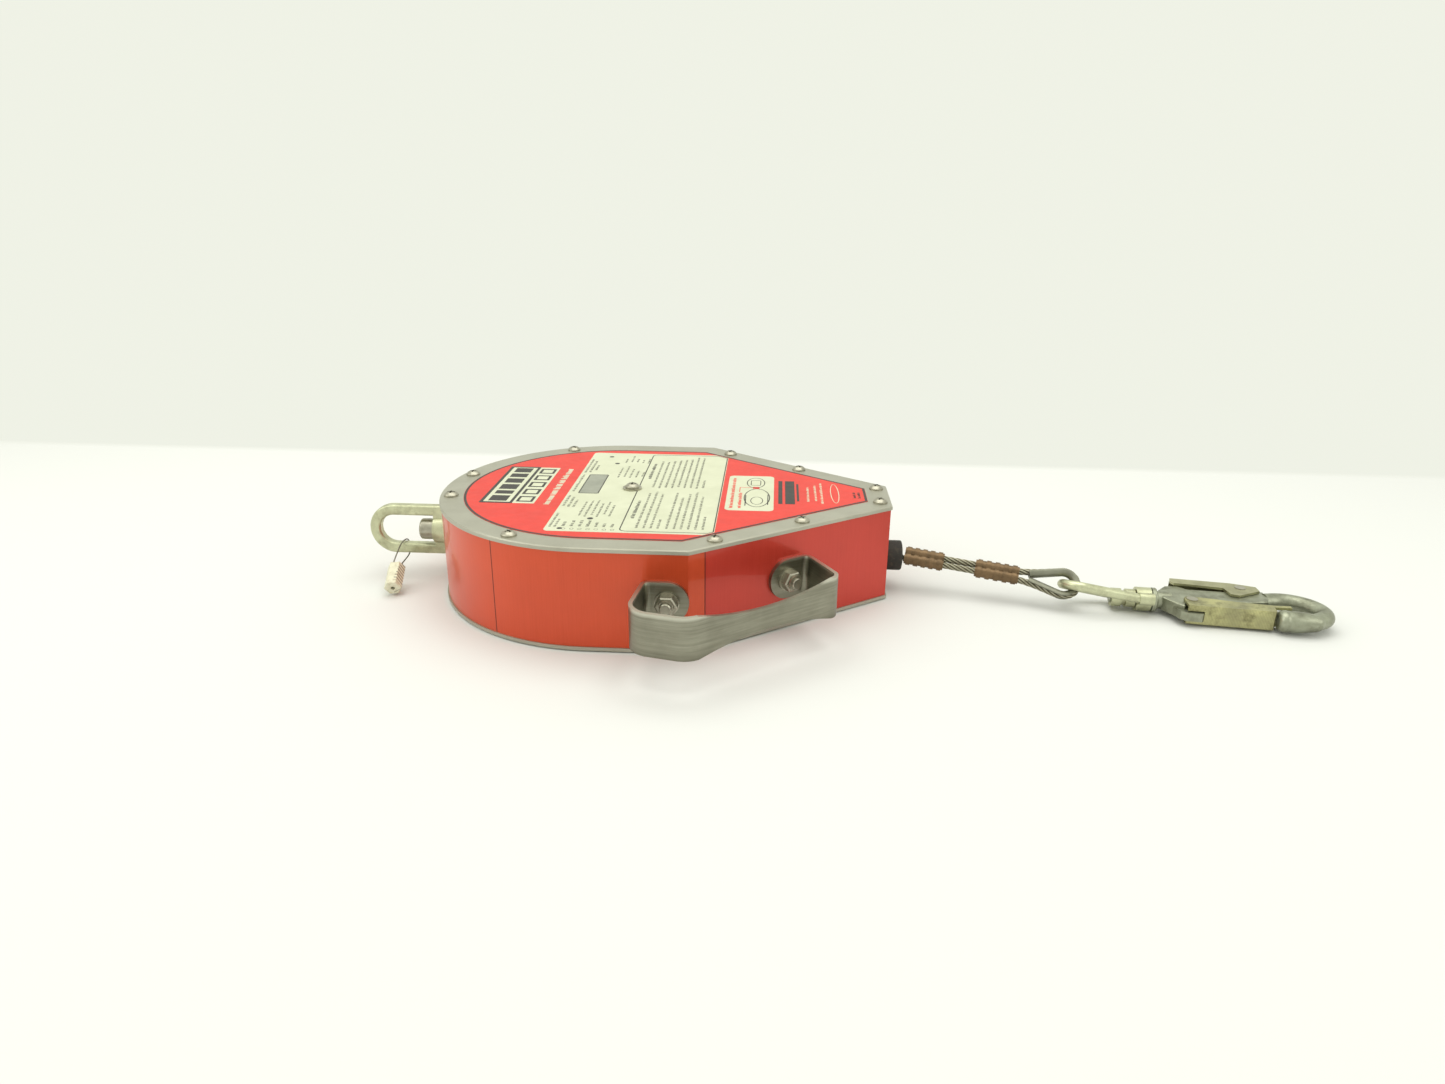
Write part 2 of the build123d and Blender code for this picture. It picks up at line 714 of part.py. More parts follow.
with BuildPart() as pawl_springs:
    for k in range(3):
        with BuildSketch(Plane.XY.offset(DRUM_TOP + 2.0 + 1.5 * k)):
            with PolarLocations(PAWL_PIN, 2):
                Circle(4.6)
                Circle(3.3, mode=Mode.SUBTRACT)
        extrude(amount=1.5)
save(pawl_springs.part, "pawl_springs")


# ================= rope outlet =================
def outlet(x):
    """Where the rope lead crosses the plane x."""
    return (x, (x - OUTLET_X) * tan(LEAD))


def ring_x(x, length, outer):
    with BuildPart() as ring:
        with BuildSketch(Plane.YZ.offset(x)):
            with Locations((0, 25.5)):
                Circle(outer)
        extrude(amount=length)
    return ring.part


with BuildPart() as bumper:
    add(ring_x(NOSE_X - OVERHANG + 0.05, 12.8, 11.2))
    fillet(bumper.edges().filter_by(GeomType.CIRCLE).sort_by(Axis.X)[-1], 1.4)
    add(ring_x(NOSE_X - OVERHANG - WALL - 0.1, 3.4, 9.8))
    add(ring_x(NOSE_X - OVERHANG - WALL - 2.6, 2.55, 12.0))
    with BuildSketch(Plane.XZ):
        with BuildLine():
            Polyline((180, 25.5), (180, 36.4), (188, 33.2), (206, 32.6), (206, 25.5), close=True)
        make_face()
    revolve(axis=Axis((180, 0, 25.5), (1, 0, 0)), mode=Mode.SUBTRACT)
save(bumper.part, "bumper")

ROLLER_AT = Vector(*outlet(170.0))
ROLLER_OFF = Vector(-sin(LEAD), cos(LEAD)) * (ROPE_R + 0.4 + 5.0)
ROLLERS = [ROLLER_AT + ROLLER_OFF, ROLLER_AT - ROLLER_OFF]
ROLLER_XY = [(v.X, v.Y) for v in ROLLERS]
for spot, name in zip(ROLLER_XY, ("guide_roller_a", "guide_roller_b")):
    with BuildPart() as roller:
        with BuildSketch(Plane.XY.offset(ROPE_Z - 8)):
            with Locations(spot):
                Circle(5.0)
                Circle(2.05 + RUN, mode=Mode.SUBTRACT)
        extrude(amount=16)
    save(roller.part, name)
with BuildPart() as roller_pins:
    with BuildSketch(Plane.XY.offset(CAVITY_LOW + 0.02)):
        with Locations(*ROLLER_XY):
            Circle(2.05)
    extrude(amount=CAVITY_TOP - CAVITY_LOW - 0.04)
save(roller_pins.part, "guide_pins")

MOUTH = Vector(MOUTH_X, outlet(MOUTH_X)[1], ROPE_Z)
lead_dir = Vector(cos(LEAD), sin(LEAD), 0)
LEAD_SKIP = 32.0           # the first stretch runs into the last layer of the wound rope
lead_full = (MOUTH - Vector(WIND_R * -sin(LEAD), WIND_R * cos(LEAD), ROPE_Z)).length
with BuildPart() as lead:
    start = MOUTH - lead_dir * (lead_full - LEAD_SKIP)
    with BuildSketch(Plane(start, x_dir=(0, 0, 1), z_dir=lead_dir)):
        Circle(ROPE_R)
    extrude(amount=lead_full - LEAD_SKIP - 0.35)
save(lead.part, "rope_lead")

# rope end frame: a along the rope, b across it in the plane of the loop
plan = radians(END_PLAN)
slope = radians(END_SLOPE)
lean = radians(END_LEAN)
A_DIR = Vector(cos(plan) * cos(slope), sin(plan) * cos(slope), -sin(slope))
FLAT = Vector(-sin(plan), cos(plan), 0)
LIFT = A_DIR.cross(FLAT)
B_DIR = FLAT * cos(lean) + LIFT * sin(lean)
N_DIR = A_DIR.cross(B_DIR)
END_O = MOUTH + B_DIR * ROPE_GAP
END_PLANE = Plane(END_O, x_dir=A_DIR, z_dir=N_DIR)
LEAVE_A = 87.0
reach = LOOP_X - LEAVE_A
half_turn = acos((LOOP_R) / sqrt(reach ** 2 + ROPE_GAP ** 2))
touch = pi - atan2(ROPE_GAP, reach) - half_turn
wedge = touch / 3


def loop_corner(angle):
    r = LOOP_R / cos(wedge)
    return (LOOP_X + r * cos(angle), r * sin(angle))


loop_pts = [(0.35, -ROPE_GAP), (LEAVE_A, -ROPE_GAP)]
loop_pts += [loop_corner(-2 * wedge), loop_corner(0), loop_corner(2 * wedge)]
loop_pts += [(LEAVE_A, ROPE_GAP), (3.5, ROPE_GAP)]
loop_r = [16.0, LOOP_R - 0.05, LOOP_R - 0.05, LOOP_R - 0.05, 16.0]
with BuildPart() as outer_rope:
    with BuildLine(END_PLANE) as rope_path:
        FilletPolyline(*loop_pts, radius=loop_r)
    with BuildSketch(Plane(rope_path.wires()[0] @ 0, z_dir=rope_path.wires()[0] % 0)):
        Circle(ROPE_R)
    sweep()
save(outer_rope.part, "outer_rope")
rope_len = rope_path.wires()[0].length
print("rope radius", ROPE_R, "outer rope length", round(rope_len, 1))
print("outer rope volume ratio", round(outer_rope.part.volume / (pi * ROPE_R ** 2 * rope_len), 3))
turns = COILS_WIDE * LAYERS
mean_r = HUB_R + ROPE_R + (LAYERS - 1) * LAYER_STEP / 2
print("rope wound on the drum, m", round(turns * 2 * pi * mean_r / 1000, 2))


def across_rope(a):
    """Plane square to the rope end, a along it; its x runs across the two ropes."""
    return Plane(END_O + A_DIR * a, x_dir=B_DIR, z_dir=A_DIR)


def twin(a, radius, length, mode=Mode.ADD):
    """Two parallel rods around the two ropes."""
    with BuildPart() as rods:
        with BuildSketch(across_rope(a)):
            with Locations((ROPE_GAP, 0), (-ROPE_GAP, 0)):
                Circle(radius)
        extrude(amount=length)
    return rods.part


def sleeve(name, span):
    """Pressed sleeve round the two ropes, with ridges left by the press."""
    length = span[1] - span[0]
    with BuildPart() as body:
        add(twin(span[0], 3.9, length))
        for k in range(5):
            add(twin(span[0] + length * (0.1 + 0.2 * k) - 1.6, 4.6, 3.2))
        add(twin(span[0] - 1, ROPE_R + 0.06, length + 2), mode=Mode.SUBTRACT)
    save(body.part, name)


sleeve("sleeve_inner", SLEEVE_1)
sleeve("sleeve_outer", SLEEVE_2)

spread = touch - pi / 2
THIMBLE_START = (LEAVE_A + 3.5 * cos(spread), ROPE_GAP + 3.5 * sin(spread))
with BuildPart() as thimble:
    with BuildLine(END_PLANE) as thimble_path:
        low_end = (THIMBLE_START[0], -THIMBLE_START[1])
        FilletPolyline(low_end, *loop_pts[2:5], THIMBLE_START, radius=[LOOP_R - 0.05] * 3)
    first = thimble_path.wires()[0]
    with BuildSketch(Plane(first @ 0, x_dir=N_DIR, z_dir=first % 0)) as channel:
        Circle(3.9)
        Circle(ROPE_R + 0.2, mode=Mode.SUBTRACT)
        with Locations((0, 5.2)):
            Rectangle(9, 9, mode=Mode.SUBTRACT)
    sweep()
save(thimble.part, "thimble")


# ================= swivel eye =================
HOOK = Location(HOOK_AT, (0, 0, HOOK_HEADING))
H_PLANE = Plane(HOOK)
TILT = radians(22)
BAR = END_O + A_DIR * 115.0
ROOT = Vector(*HOOK_AT) + H_PLANE.x_dir * -9.0
LEG_DIR = (BAR - ROOT).normalized()
ACROSS = H_PLANE.y_dir * -cos(TILT) + Vector(0, 0, sin(TILT))
EYE_PLANE = Plane(ROOT, x_dir=LEG_DIR, z_dir=LEG_DIR.cross(ACROSS))
EYE_HALF = 12.0
leg = (BAR - ROOT).length - EYE_HALF
with BuildPart() as eye:
    with BuildLine(EYE_PLANE) as bow_path:
        Line((0, EYE_HALF), (leg, EYE_HALF))
        ThreePointArc((leg, EYE_HALF), (leg + EYE_HALF, 0), (leg, -EYE_HALF))
        Line((leg, -EYE_HALF), (0, -EYE_HALF))
    bow_wire = bow_path.wires()[0]
    with BuildSketch(Plane(bow_wire @ 0, z_dir=bow_wire % 0)):
        Circle(EYE_WIRE)
    sweep()
    with BuildSketch(Plane(Vector(*HOOK_AT) - H_PLANE.x_dir * 10.4, x_dir=ACROSS, z_dir=H_PLANE.x_dir)):
        Circle(8.5)
        SlotOverall(2 * EYE_HALF + 8.4, 8.6)
    extrude(amount=10.1)
    with BuildSketch(Plane(Vector(*HOOK_AT) - H_PLANE.x_dir * 14, x_dir=ACROSS, z_dir=H_PLANE.x_dir)):
        Circle(4.05)
    extrude(amount=18, mode=Mode.SUBTRACT)
    with BuildSketch(Plane(Vector(*HOOK_AT) - H_PLANE.x_dir * 32, x_dir=ACROSS, z_dir=H_PLANE.x_dir)):
        Circle(7.0)
    extrude(amount=21.6, mode=Mode.SUBTRACT)
save(eye.part, "swivel_eye")


# ================= snap hook, built along its own axis =================
def put(part, name):
    save(part.moved(HOOK), name)


with BuildPart() as nut_rings:
    for u, length in ((-27.0, 6.6), (-17.3, 6.4)):
        with BuildSketch(Plane.YZ.offset(u)):
            Circle(6.6)
            Circle(4.03, mode=Mode.SUBTRACT)
        extrude(amount=length)
    with BuildSketch(Plane.YZ.offset(-20.5)):
        Circle(5.2)
        Circle(4.03, mode=Mode.SUBTRACT)
    extrude(amount=3.3)
put(nut_rings.part, "swivel_nut_rings")

HALF_T = HOOK_T / 2
ring_pts = [(79.4, 9.8), (91, 12.3), (102, 9.8), (109.5, 3.5)]
ring_pts += [(113, -6), (110.5, -15), (103, -21), (92, -22.3)]
NOSE_Y = -22.4            # middle of the thick nose

with BuildPart() as blade:
    with BuildSketch(Plane.XY.offset(-HALF_T)) as blade_plan:
        with BuildLine():
            Polyline((6.8, -6), (11, -12), (15, -17), (18.6, -19.5), (19.4, -16.5), (30, -10.5), (62, -6),
                     (78, -2), (80.5, 4), (80.5, 15.8), (76, 16.4), (58, 17.2), (52, 11.5), (28, 11.6),
                     (22, 16.2), (13, 15.2), (6.8, 7), close=True)
        make_face()
        fillet(blade_plan.vertices(), 0.8)
        with Locations(GATE_PIN):
            Circle(4.4)
    extrude(amount=HOOK_T)
    chamfer(blade.faces().sort_by(Axis.Z)[-1].edges(), 0.7)
    chamfer(blade.faces().sort_by(Axis.Z)[0].edges(), 0.7)
    with BuildSketch(Plane.XY.offset(-HALF_T)):
        with Locations(LEVER_PIN):
            Circle(4.3)
    extrude(amount=HOOK_T)

with BuildPart() as nose:
    with BuildSketch(Plane.XY):
        with BuildLine():
            ThreePointArc((77.9, NOSE_Y + 4.4), (79.4, NOSE_Y + 6.6), (84.0, NOSE_Y + 7.4))
            ThreePointArc((84.0, NOSE_Y + 7.4), (94.0, NOSE_Y + 7.2), (103.0, NOSE_Y + 5.8))
            Line((103.0, NOSE_Y + 5.8), (103.0, NOSE_Y))
            Line((103.0, NOSE_Y), (77.9, NOSE_Y))
            Line((77.9, NOSE_Y), (77.9, NOSE_Y + 4.4))
        make_face()
    revolve(axis=Axis((0, NOSE_Y, 0), (1, 0, 0)))

with BuildPart() as hook:
    with BuildSketch(Plane.YZ.offset(-28.0)):
        Circle(4.0)
    extrude(amount=29)
    with BuildSketch(Plane.YZ.offset(0.5)):
        Circle(8.6)
    extrude(amount=3.2)
    with BuildSketch(Plane.YZ.offset(3.6)):
        Circle(6.4)
    extrude(amount=10)
    fillet(hook.edges().filter_by(GeomType.CIRCLE).filter_by_position(Axis.X, 3.6, 3.8), 0.9)
    add(blade.part)
    with BuildSketch(Plane.XY.offset(-4.0)):
        with BuildLine():
            Polyline((12, -15), (15.4, -22.4), (19.5, -25.2), (29, -25.6), (30, -24.4), (29, -21.4),
                     (20.4, -20.8), (18.6, -15), close=True)
        make_face()
    extrude(amount=6.2)
    add(nose.part)
    with BuildLine() as ring_path:
        Spline(*ring_pts, tangents=[(1, 0.25), (-1, 0.05)])
    ring_wire = ring_path.wires()[0]
    with BuildSketch(Plane(ring_wire @ 0, x_dir=(0, 0, 1), z_dir=ring_wire % 0)):
        Circle(6.1)
    sweep()
    for pin in (GATE_PIN, LEVER_PIN):
        with Locations(Location((pin[0], pin[1], 0))):
            Cylinder(2.6, 20, mode=Mode.SUBTRACT)
put(hook.part, "hook_body")

SKIN_LOW = HALF_T + 0.35
with BuildPart() as gate:
    with BuildSketch(Plane.XY.offset(-SKIN_LOW - SKIN)):
        with BuildLine():
            Polyline((19.6, -22.9), (76.3, -24.2), (77.0, -16.4), (88.5, -15.8), (88.5, -12.4), (78, -13.2),
                     (55, -11.2), (31, -7.6), (21.5, -7.2), (19.6, -10), close=True)
        make_face()
        with Locations(GATE_PIN):
            Circle(2.6, mode=Mode.SUBTRACT)
    extrude(amount=2 * (SKIN_LOW + SKIN))
    fillet(gate.edges().filter_by(Axis.X, 2).sort_by(Axis.Y)[:2], 1.2)
    with BuildSketch(Plane.XY.offset(-SKIN_LOW)):
        with BuildLine():
            Polyline((10, -21.2), (60, -22.3), (90, -23.0), (95, -15), (95, 5), (10, 5), close=True)
        make_face()
    extrude(amount=2 * SKIN_LOW, mode=Mode.SUBTRACT)
    with Locations((24.5, -22, -0.8)):
        Box(12.4, 8, 7.4, mode=Mode.SUBTRACT)
put(gate.part, "hook_gate")

with BuildPart() as lever:
    with BuildSketch(Plane.XY.offset(-SKIN_LOW - SKIN)):
        with BuildLine():
            Polyline((19.0, 26.0), (60, 23.8), (76.4, 19.5), (76.8, 12.0), (60, 1.2), (54.6, 2.8),
                     (52.6, 13.6), (30, 16.2), (19.6, 16.8), (18.0, 20.5), close=True)
        make_face()
        with Locations(LEVER_PIN):
            Circle(2.6, mode=Mode.SUBTRACT)
    extrude(amount=2 * (SKIN_LOW + SKIN))
    with BuildSketch(Plane.XY.offset(-SKIN_LOW)):
        with BuildLine():
            Polyline((10, 25.2), (60, 22.5), (77.2, 18.0), (90, 14.5), (90, -10), (10, -10), close=True)
        make_face()
    extrude(amount=2 * SKIN_LOW, mode=Mode.SUBTRACT)
put(lever.part, "lock_lever")

with BuildPart() as rivets:
    for pin in (GATE_PIN, LEVER_PIN):
        with Locations(Location((pin[0], pin[1], 0))):
            Cylinder(2.55, 2 * (SKIN_LOW + SKIN) + 0.1)
        for z in (1, -1):
            with Locations(Location((pin[0], pin[1], z * (SKIN_LOW + SKIN + 0.2)))):
                Cylinder(3.7, 0.3)
put(rivets.part, "hook_rivets")
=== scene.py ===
import bpy
import math
import random
from mathutils import Matrix, Vector


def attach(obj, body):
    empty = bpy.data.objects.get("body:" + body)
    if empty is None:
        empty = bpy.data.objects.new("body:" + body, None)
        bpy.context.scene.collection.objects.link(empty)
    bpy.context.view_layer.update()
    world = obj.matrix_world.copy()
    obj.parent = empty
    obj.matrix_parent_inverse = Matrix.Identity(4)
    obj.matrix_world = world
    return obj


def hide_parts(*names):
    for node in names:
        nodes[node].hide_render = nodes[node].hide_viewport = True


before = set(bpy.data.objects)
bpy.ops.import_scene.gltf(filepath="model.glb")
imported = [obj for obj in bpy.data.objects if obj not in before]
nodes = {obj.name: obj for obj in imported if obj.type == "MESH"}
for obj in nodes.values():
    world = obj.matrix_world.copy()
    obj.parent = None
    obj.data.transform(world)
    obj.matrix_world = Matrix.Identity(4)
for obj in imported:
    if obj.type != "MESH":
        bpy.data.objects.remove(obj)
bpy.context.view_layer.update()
rnd = random.Random(7)

# plan of the housing, in millimetres
ROUND_R = 125.0                    # radius of the round end
ROUND_X = -14.5                    # centre of the round end
CORNER_X = 53.2                    # where the straight side meets the taper
NOSE_X = 190.0
NOSE_HALF = 24.0                   # half width of the flat nose
TAPER = math.atan2(ROUND_R - NOSE_HALF, NOSE_X - CORNER_X)
SEAM_ANGLE = math.radians(59.5)    # seams of the round end, from -X
SEAM_ALONG = 12.8                  # seam of the taper, from its corner

LABEL_TOP = 0.07226                # upper face of the label film
THIN_INK = 0.00003                 # height of the first layer of print
THICK_INK = 0.00006                # height of the layer printed over it

# rope end, in metres
ROPE_R = 0.0024                    # radius of the rope
ROPE_LAY = 0.030                   # length of one turn of the strands
ROPE_GAP = 0.0026                  # half the distance between the two ropes
LOOP_CENTRE = 0.1146               # middle of the thimble's round, from the mouth
LOOP_R = 0.010                     # radius of the rope's bend round it
LOOP_LEAVE = 0.087                 # where the ropes part
WIRE_R = 0.0005                    # radius of the tag wire
STEP = 0.0006                      # spacing of the rings along the rope

FLOOR_Z = -0.0004
BACKDROP_Y = 0.335                 # the floor turns into the pale backdrop here


# ---------------- camera ----------------
def make_camera():
    yaw, pitch, roll = -0.05324, math.radians(20.515), 0.0102
    ahead = Vector((math.sin(yaw) * math.cos(pitch), math.cos(yaw) * math.cos(pitch), -math.sin(pitch)))
    right = Vector((math.cos(yaw), -math.sin(yaw), 0))
    up = right.cross(ahead)
    side = right * math.cos(roll) + up * math.sin(roll)
    top = up * math.cos(roll) - right * math.sin(roll)
    turned = Matrix((side, top, -ahead)).transposed()
    cam = bpy.data.cameras.new("photo_camera")
    cam.sensor_width = 36
    cam.lens = 23.99
    cam.clip_start = 0.01
    ob = bpy.data.objects.new("photo_camera", cam)
    ob.matrix_world = Matrix.Translation((0.10383, -0.68075, 0.287)) @ turned.to_4x4()
    bpy.context.collection.objects.link(ob)
    bpy.context.scene.camera = ob


make_camera()


# ---------------- mesh helpers ----------------
def mesh_object(name, verts, faces, smooth=True, material=None):
    me = bpy.data.meshes.new(name)
    me.from_pydata(verts, [], faces)
    me.validate()
    me.update()
    if smooth:
        me.polygons.foreach_set("use_smooth", [True] * len(me.polygons))
    ob = bpy.data.objects.new(name, me)
    bpy.context.collection.objects.link(ob)
    if material:
        me.materials.append(material)
    return ob


def nurbs_line(name, points, resolution=24):
    """The smooth line of a route: its points are the control points."""
    cu = bpy.data.curves.new(name, "CURVE")
    cu.dimensions = "3D"
    cu.resolution_u = resolution
    sp = cu.splines.new("NURBS")
    sp.points.add(len(points) - 1)
    for p, co in zip(sp.points, points):
        p.co = (*co, 1)
    sp.order_u = 3
    sp.use_endpoint_u = True
    ob = bpy.data.objects.new(name, cu)
    bpy.context.collection.objects.link(ob)
    return ob


def line_points(ob):
    """Points along a curve object, which is then removed."""
    me = bpy.data.meshes.new_from_object(ob)
    pts = [v.co.copy() for v in me.vertices]
    bpy.data.meshes.remove(me)
    cu = ob.data
    bpy.data.objects.remove(ob)
    bpy.data.curves.remove(cu)
    return pts


def even(points, step):
    """The same line in steps of equal length."""
    out = [points[0].copy()]
    left = step
    for a, b in zip(points, points[1:]):
        seg = (b - a).length
        pos = 0.0
        while seg - pos >= left:
            pos += left
            out.append(a.lerp(b, pos / seg))
            left = step
        left -= seg - pos
    if (out[-1] - points[-1]).length > step * 0.3:
        out.append(points[-1].copy())
    return out


def strand_tube(name, points, radius, lay, strands=6, around=72, step=STEP, material=None):
    """A rope laid from round strands, twisted along the line; lay is the length of one turn."""
    line = even(points, step)
    strand = radius / 3
    core = radius - strand
    normal = Vector((0, 0, 1))
    verts, faces, uvs = [], [], []
    for i, p in enumerate(line):
        t = (line[min(i + 1, len(line) - 1)] - line[max(i - 1, 0)]).normalized()
        normal = (normal - t * normal.dot(t)).normalized()
        side = t.cross(normal)
        turn = 2 * math.pi * i * step / lay
        for k in range(around):
            a = 2 * math.pi * k / around
            lobe = (a - turn) * strands / (2 * math.pi)
            swing = (lobe - math.floor(lobe) - 0.5) * 2 * math.pi / strands
            reach = core * math.cos(swing) + math.sqrt(max(strand ** 2 - (core * math.sin(swing)) ** 2, 0))
            verts.append(p + (normal * math.cos(a) + side * math.sin(a)) * reach)
    n = len(line)
    for i in range(n - 1):
        v0, v1 = i * step / lay, (i + 1) * step / lay
        for k in range(around):
            j = (k + 1) % around
            faces.append((i * around + k, i * around + j, (i + 1) * around + j, (i + 1) * around + k))
            u0, u1 = k / around, (k + 1) / around
            uvs += [(u0, v0), (u1, v0), (u1, v1), (u0, v1)]
    for first in (0, (n - 1) * around):
        ring = [first + k for k in range(around)]
        faces.append(tuple(ring if first else ring[::-1]))
        uvs += [(0, 0)] * around
    ob = mesh_object(name, verts, faces, material=material)
    layer = ob.data.uv_layers.new(name="along")
    for i, uv in enumerate(uvs):
        layer.data[i].uv = uv
    return ob


# ---------------- materials ----------------
class Nodes:
    """Short hand for building a material's node tree."""

    def __init__(self, name, rough=0.5, metal=0.0, coat=0.0, spec=0.5):
        self.mat = bpy.data.materials.new(name)
        self.mat.use_nodes = True
        self.tree = self.mat.node_tree
        self.bsdf = self.tree.nodes["Principled BSDF"]
        self.bsdf.inputs["Metallic"].default_value = metal
        self.bsdf.inputs["Roughness"].default_value = rough
        self.bsdf.inputs["Coat Weight"].default_value = coat
        self.bsdf.inputs["Specular IOR Level"].default_value = spec
        self.co = self.new("ShaderNodeTexCoord").outputs["Object"]

    def new(self, kind, **props):
        n = self.tree.nodes.new(kind)
        for k, v in props.items():
            setattr(n, k, v)
        return n

    def link(self, a, b):
        self.tree.links.new(a, b)

    def place(self):
        """The x, y and z of the point, in metres."""
        split = self.new("ShaderNodeSeparateXYZ")
        self.link(self.co, split.inputs[0])
        return split.outputs

    def mapped(self, scale, turn=(0, 0, 0)):
        m = self.new("ShaderNodeMapping")
        m.inputs["Scale"].default_value = scale
        m.inputs["Rotation"].default_value = turn
        self.link(self.co, m.inputs["Vector"])
        return m.outputs["Vector"]

    def noise(self, scale, detail=4.0, rough=0.55, vector=None, distort=0.0):
        n = self.new("ShaderNodeTexNoise")
        n.inputs["Scale"].default_value = scale
        n.inputs["Detail"].default_value = detail
        n.inputs["Roughness"].default_value = rough
        n.inputs["Distortion"].default_value = distort
        self.link(vector or self.co, n.inputs["Vector"])
        return n.outputs["Fac"]

    def ramp(self, fac, stops):
        r = self.new("ShaderNodeValToRGB")
        el = r.color_ramp.elements
        while len(el) < len(stops):
            el.new(0.5)
        for e, (pos, col) in zip(el, stops):
            e.position = pos
            e.color = (*col, 1) if len(col) == 3 else (col[0], col[0], col[0], 1)
        self.link(fac, r.inputs["Fac"])
        return r.outputs["Color"]

    def mix(self, fac, a, b, mode="MIX"):
        m = self.new("ShaderNodeMix", data_type="RGBA", blend_type=mode)
        if isinstance(fac, (int, float)):
            m.inputs[0].default_value = fac
        else:
            self.link(fac, m.inputs[0])
        for v, s in ((a, m.inputs[6]), (b, m.inputs[7])):
            if isinstance(v, tuple):
                s.default_value = (*v, 1)
            else:
                self.link(v, s)
        return m.outputs[2]

    def math(self, op, a, b=0.0):
        m = self.new("ShaderNodeMath", operation=op)
        for v, s in ((a, m.inputs[0]), (b, m.inputs[1])):
            if isinstance(v, (int, float)):
                s.default_value = v
            else:
                self.link(v, s)
        return m.outputs[0]

    def base(self, colour):
        self.link(colour, self.bsdf.inputs["Base Color"])

    def rough(self, fac, low, high):
        m = self.new("ShaderNodeMapRange")
        m.inputs["To Min"].default_value = low
        m.inputs["To Max"].default_value = high
        self.link(fac, m.inputs["Value"])
        self.link(m.outputs["Result"], self.bsdf.inputs["Roughness"])

    def bump(self, height, strength, distance):
        b = self.new("ShaderNodeBump")
        b.inputs["Strength"].default_value = strength
        b.inputs["Distance"].default_value = distance
        self.link(height, b.inputs["Height"])
        self.link(b.outputs["Normal"], self.bsdf.inputs["Normal"])


def metal(name, light, dark, rough=(0.28, 0.5), grain=(1, 1, 1), grime=None, amount=0.35, spots=60,
          fine=900, metallic=0.9, bump=0.15):
    """Metal with a grain direction, cloudy tone, fine scratches and grime in patches and small specks."""
    n = Nodes(name, metal=metallic)
    cloud = n.noise(spots, 5, 0.6)
    grained = n.noise(fine, 3, 0.6, n.mapped(grain))
    tone = n.mix(n.ramp(cloud, [(0.25, (0,)), (0.75, (1,))]), dark, light)
    shade = tuple(c * 0.80 for c in light)
    tone = n.mix(0.25, tone, n.ramp(grained, [(0.3, shade), (0.7, light)]))
    if grime:
        soft = n.ramp(n.noise(spots * 1.3, 6, 0.6), [(0.48, (0,)), (0.78, (amount,))])
        tone = n.mix(soft, tone, grime)
        fleck = n.ramp(n.noise(spots * 14, 4, 0.7), [(0.60, (0,)), (0.72, (amount * 0.9,))])
        tone = n.mix(fleck, tone, grime)
        n.rough(n.math("MULTIPLY", n.math("ADD", grained, soft), 0.6), rough[0], rough[1] + 0.1)
    else:
        n.rough(grained, *rough)
    n.base(tone)
    n.bump(grained, bump, 0.00010)
    return n.mat


def seam_line(n):
    """1 on the seams of the walls, fading to 0 within a millimetre: a dark line that is painted shadow of
    the gap and the dirt that gathers there.
    """
    sharpness = 1400.0  # one over the half width of the line, in metres
    x, y, _ = n.place()
    across = n.math("ABSOLUTE", y)
    from_centre = n.math("ADD", x, -ROUND_X / 1000)
    round_seam = n.math("SUBTRACT", n.math("MULTIPLY", from_centre, math.sin(SEAM_ANGLE)),
                        n.math("MULTIPLY", across, -math.cos(SEAM_ANGLE)))
    corner = math.cos(TAPER) * CORNER_X - math.sin(TAPER) * ROUND_R
    along = n.math("SUBTRACT", n.math("MULTIPLY", x, math.cos(TAPER)),
                   n.math("MULTIPLY", across, math.sin(TAPER)))
    taper_seam = n.math("ADD", along, -(corner + SEAM_ALONG) / 1000)
    closest = n.math("MINIMUM", n.math("ABSOLUTE", round_seam), n.math("ABSOLUTE", taper_seam))
    return n.math("MAXIMUM", n.math("SUBTRACT", 1.0, n.math("MULTIPLY", closest, sharpness)), 0.0)


def wall_finish(name, light, dark):
    """Red lacquer on brushed sheet: fine upright grain, thin wear, dark specks and dark seams."""
    n = Nodes(name, rough=0.36, metal=0.35, coat=0.35)
    grain = n.noise(1500, 2, 0.5, n.mapped((1, 1, 0.02)))
    cloud = n.noise(14, 4, 0.6)
    tone = n.mix(n.ramp(cloud, [(0.3, (0,)), (0.75, (1,))]), dark, light)
    bright = tuple(min(1, c * 1.25 + 0.03) for c in light)
    tone = n.mix(n.math("MULTIPLY", grain, 0.35), tone, bright)
    speck = n.noise(420, 3, 0.7)
    tone = n.mix(n.ramp(speck, [(0.72, (0,)), (0.80, (0.6,))]), tone, (0.16, 0.03, 0.012))
    # seams darkened: painted shadow of the gaps between the wall pieces, together with dirt in them
    tone = n.mix(n.math("MULTIPLY", seam_line(n), 0.85), tone, (0.05, 0.012, 0.008))
    n.base(tone)
    n.rough(grain, 0.26, 0.44)
    n.bump(grain, 0.10, 0.00006)
    return n.mat


